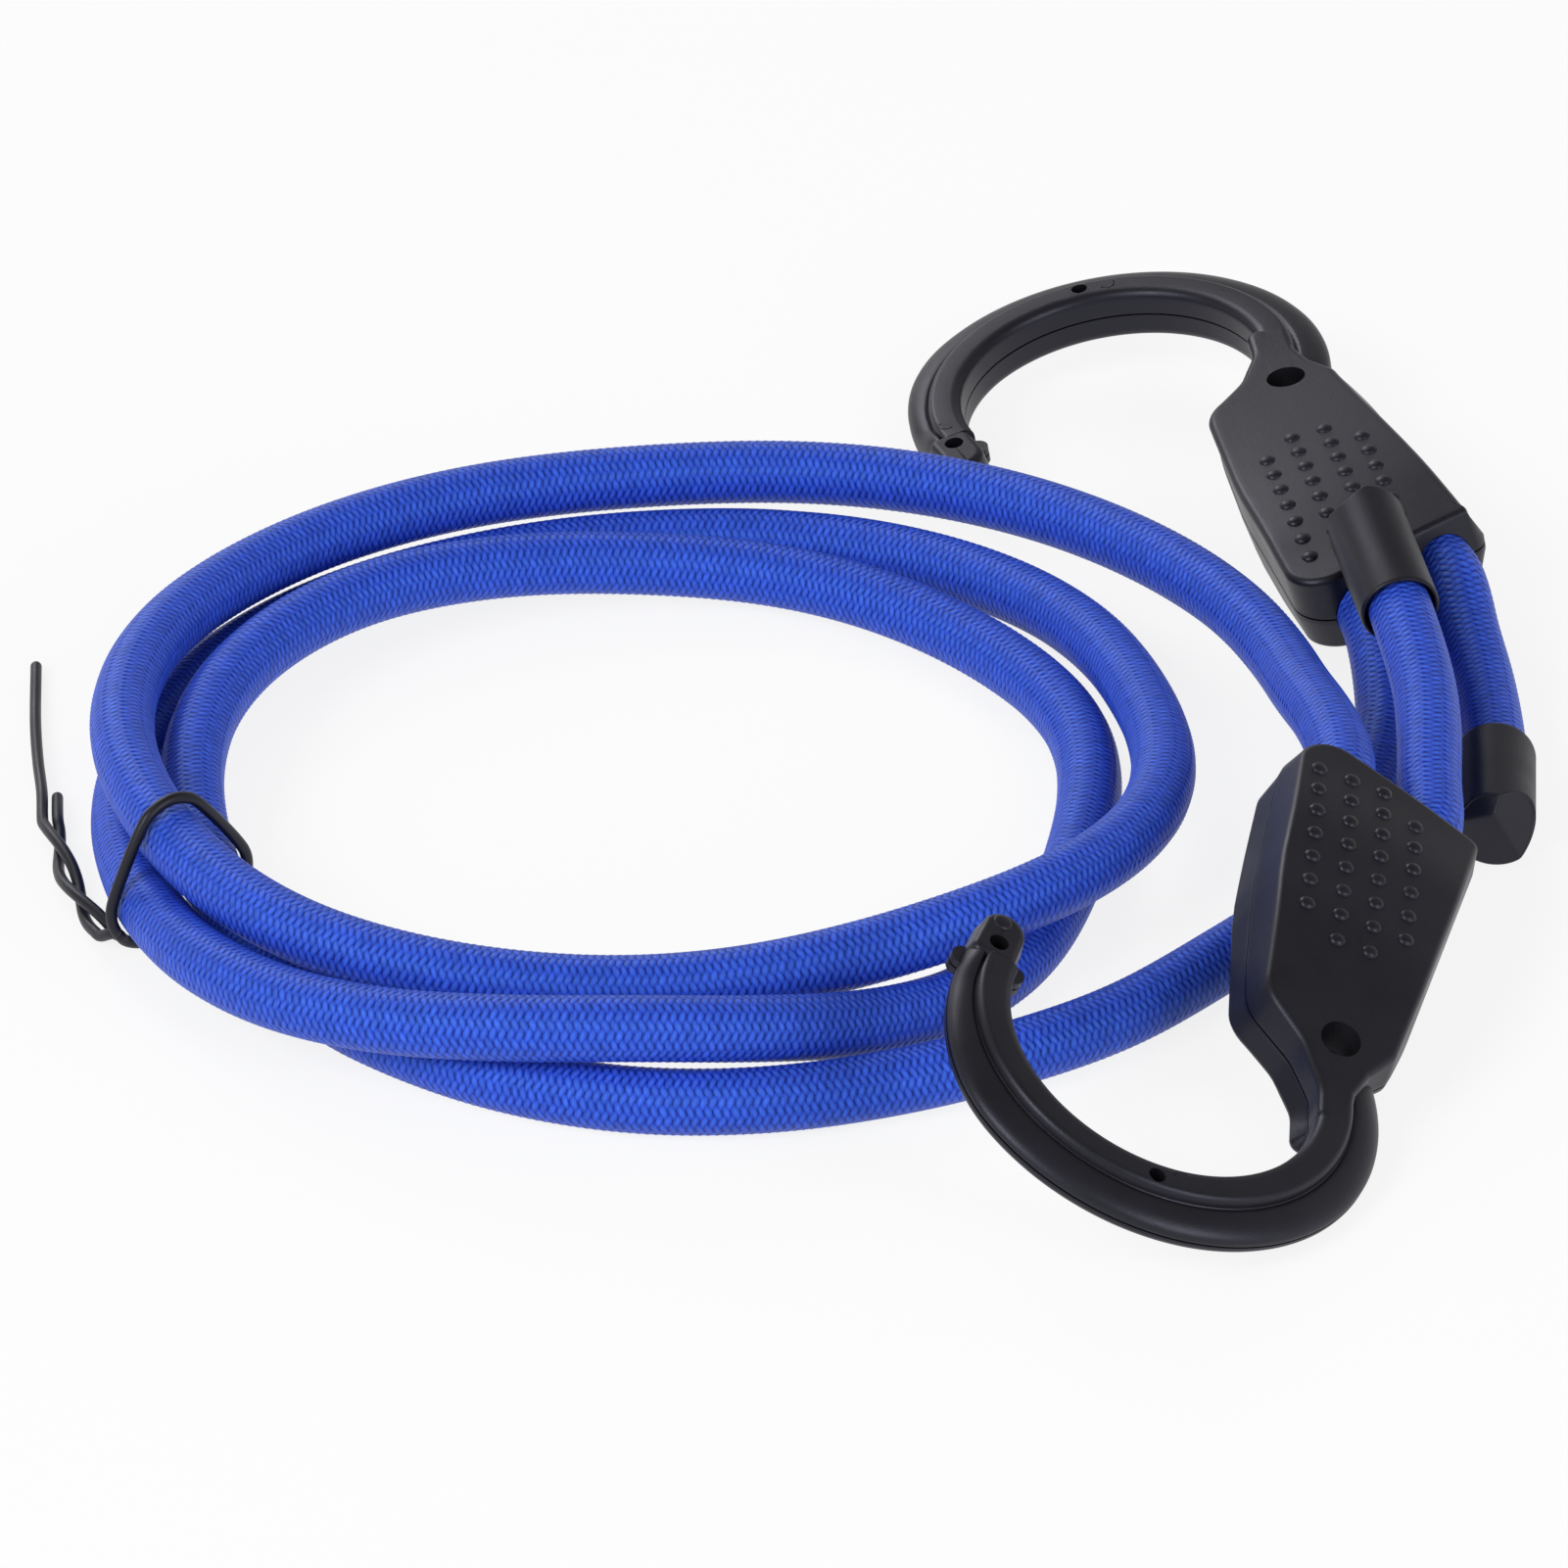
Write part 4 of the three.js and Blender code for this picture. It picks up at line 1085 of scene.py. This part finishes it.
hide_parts("front_lead_cord", "front_lead_cord_rubber")
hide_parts("coil_cord", "coil_cord_rubber")
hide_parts("rear_lead_cord", "rear_lead_cord_rubber")
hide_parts("front_tail_cord", "front_tail_cord_rubber")
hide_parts("rear_tail_cord", "rear_tail_cord_rubber")

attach(coil, "coil")
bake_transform(front_lead)
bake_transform(rear_lead)
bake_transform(front_tail_near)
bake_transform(rear_tail_near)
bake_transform(front_tail)
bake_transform(rear_tail)

# The tie, the caps and the hooks

IN_METRES = Matrix.Identity(4)
tie = moulded_object("tie", tie_surface(main_line), IN_METRES, TIE_PLASTIC)
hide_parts("wire_tie")
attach(tie, "coil")

cap = cap_surface()
front_cap = moulded_object("front_cap", cap, cap_matrix(FRONT_CAP), CAP_PLASTIC)
rear_cap = moulded_object("rear_cap", cap, cap_matrix(REAR_CAP), CAP_PLASTIC)
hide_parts("front_end_cap")
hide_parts("rear_end_cap")
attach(front_cap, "front_cap")
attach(rear_cap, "rear_cap")

upper_half, lower_half = half_hook(UPPER_FACE), half_hook(LOWER_FACE)
for name, hook, top, bottom in (
    ("front_hook", FRONT_HOOK, upper_half, lower_half),
    ("rear_hook", REAR_HOOK, lower_half, upper_half),
):
    for place, shell in (("top", top), ("bottom", bottom)):
        made = moulded_object(f"{name}_{place}", shell, hook_matrix(hook), HOOK_PLASTIC)
        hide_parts(f"{name}_{place}_shell")
        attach(made, name)


# Materials of the CAD pieces that show

for node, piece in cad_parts.items():
    if "cord" in node:
        material = BRAID
    elif "wire" in node and "tie" not in node or node.endswith("_pin"):
        material = STEEL
    elif node.endswith("_cap"):
        material = CAP_PLASTIC
    elif node == "wire_tie":
        material = TIE_PLASTIC
    else:
        material = HOOK_PLASTIC
    for place in piece.material_slots:
        place.material = material

# The floor and the light

floor_material, floor_nodes, floor_links = new_material("floor")
floor_shader = principled(floor_nodes, floor_links, Roughness=FLOOR_ROUGHNESS, Specular_IOR_Level=0.0)
floor_shader.inputs["Base Color"].default_value = (*grey(FLOOR_GREY), 1.0)
floor_glow = floor_nodes.new("ShaderNodeEmission")
floor_glow.inputs["Strength"].default_value = 1.0
rays = floor_nodes.new("ShaderNodeLightPath").outputs
seen = maths(floor_nodes, floor_links, "MAXIMUM", rays["Is Camera Ray"], rays["Is Glossy Ray"])
seen = maths(floor_nodes, floor_links, "MAXIMUM", seen, rays["Is Transmission Ray"])
floor_mix = floor_nodes.new("ShaderNodeMixShader")
white = maths(floor_nodes, floor_links, "MULTIPLY", seen, FLOOR_WHITE_SHARE)
floor_links.new(white, floor_mix.inputs["Fac"])
floor_links.new(floor_shader.outputs["BSDF"], floor_mix.inputs[1])
floor_links.new(floor_glow.outputs["Emission"], floor_mix.inputs[2])
floor_end = [n for n in floor_nodes if n.type == "OUTPUT_MATERIAL"][0]
floor_links.new(floor_mix.outputs["Shader"], floor_end.inputs["Surface"])
floor = mesh_object(
    "floor",
    [
        (-FLOOR_HALF, -FLOOR_HALF, 0.0),
        (FLOOR_HALF, -FLOOR_HALF, 0.0),
        (FLOOR_HALF, FLOOR_HALF, 0.0),
        (-FLOOR_HALF, FLOOR_HALF, 0.0),
    ],
    [(0, 1, 2, 3)],
)
floor.data.materials.append(floor_material)

world = bpy.data.worlds.new("world")
world.use_nodes = True
world_nodes, world_links = world.node_tree.nodes, world.node_tree.links
background = world_nodes["Background"]
split = world_nodes.new("ShaderNodeSeparateXYZ")
world_links.new(world_nodes.new("ShaderNodeTexCoord").outputs["Generated"], split.inputs["Vector"])
sky = ramp(world_nodes, world_links, split.outputs["Z"], greys(SKY_STOPS))
world_links.new(sky, background.inputs["Color"])
background.inputs["Strength"].default_value = 1.0
bpy.context.scene.world = world


def soft_lamp(name, place, size, power):
    lamp = bpy.data.lights.new(name, "AREA")
    lamp.shape = "SQUARE"
    lamp.size = size
    lamp.energy = power
    made = bpy.data.objects.new(name, lamp)
    bpy.context.scene.collection.objects.link(made)
    made.location = place
    made.rotation_euler = (Vector(CAMERA_TARGET) - Vector(place)).to_track_quat("-Z", "Y").to_euler()


for name, (place, size, power) in LAMPS.items():
    soft_lamp(name, place, size, power)

bpy.context.scene.view_settings.view_transform = "Standard"
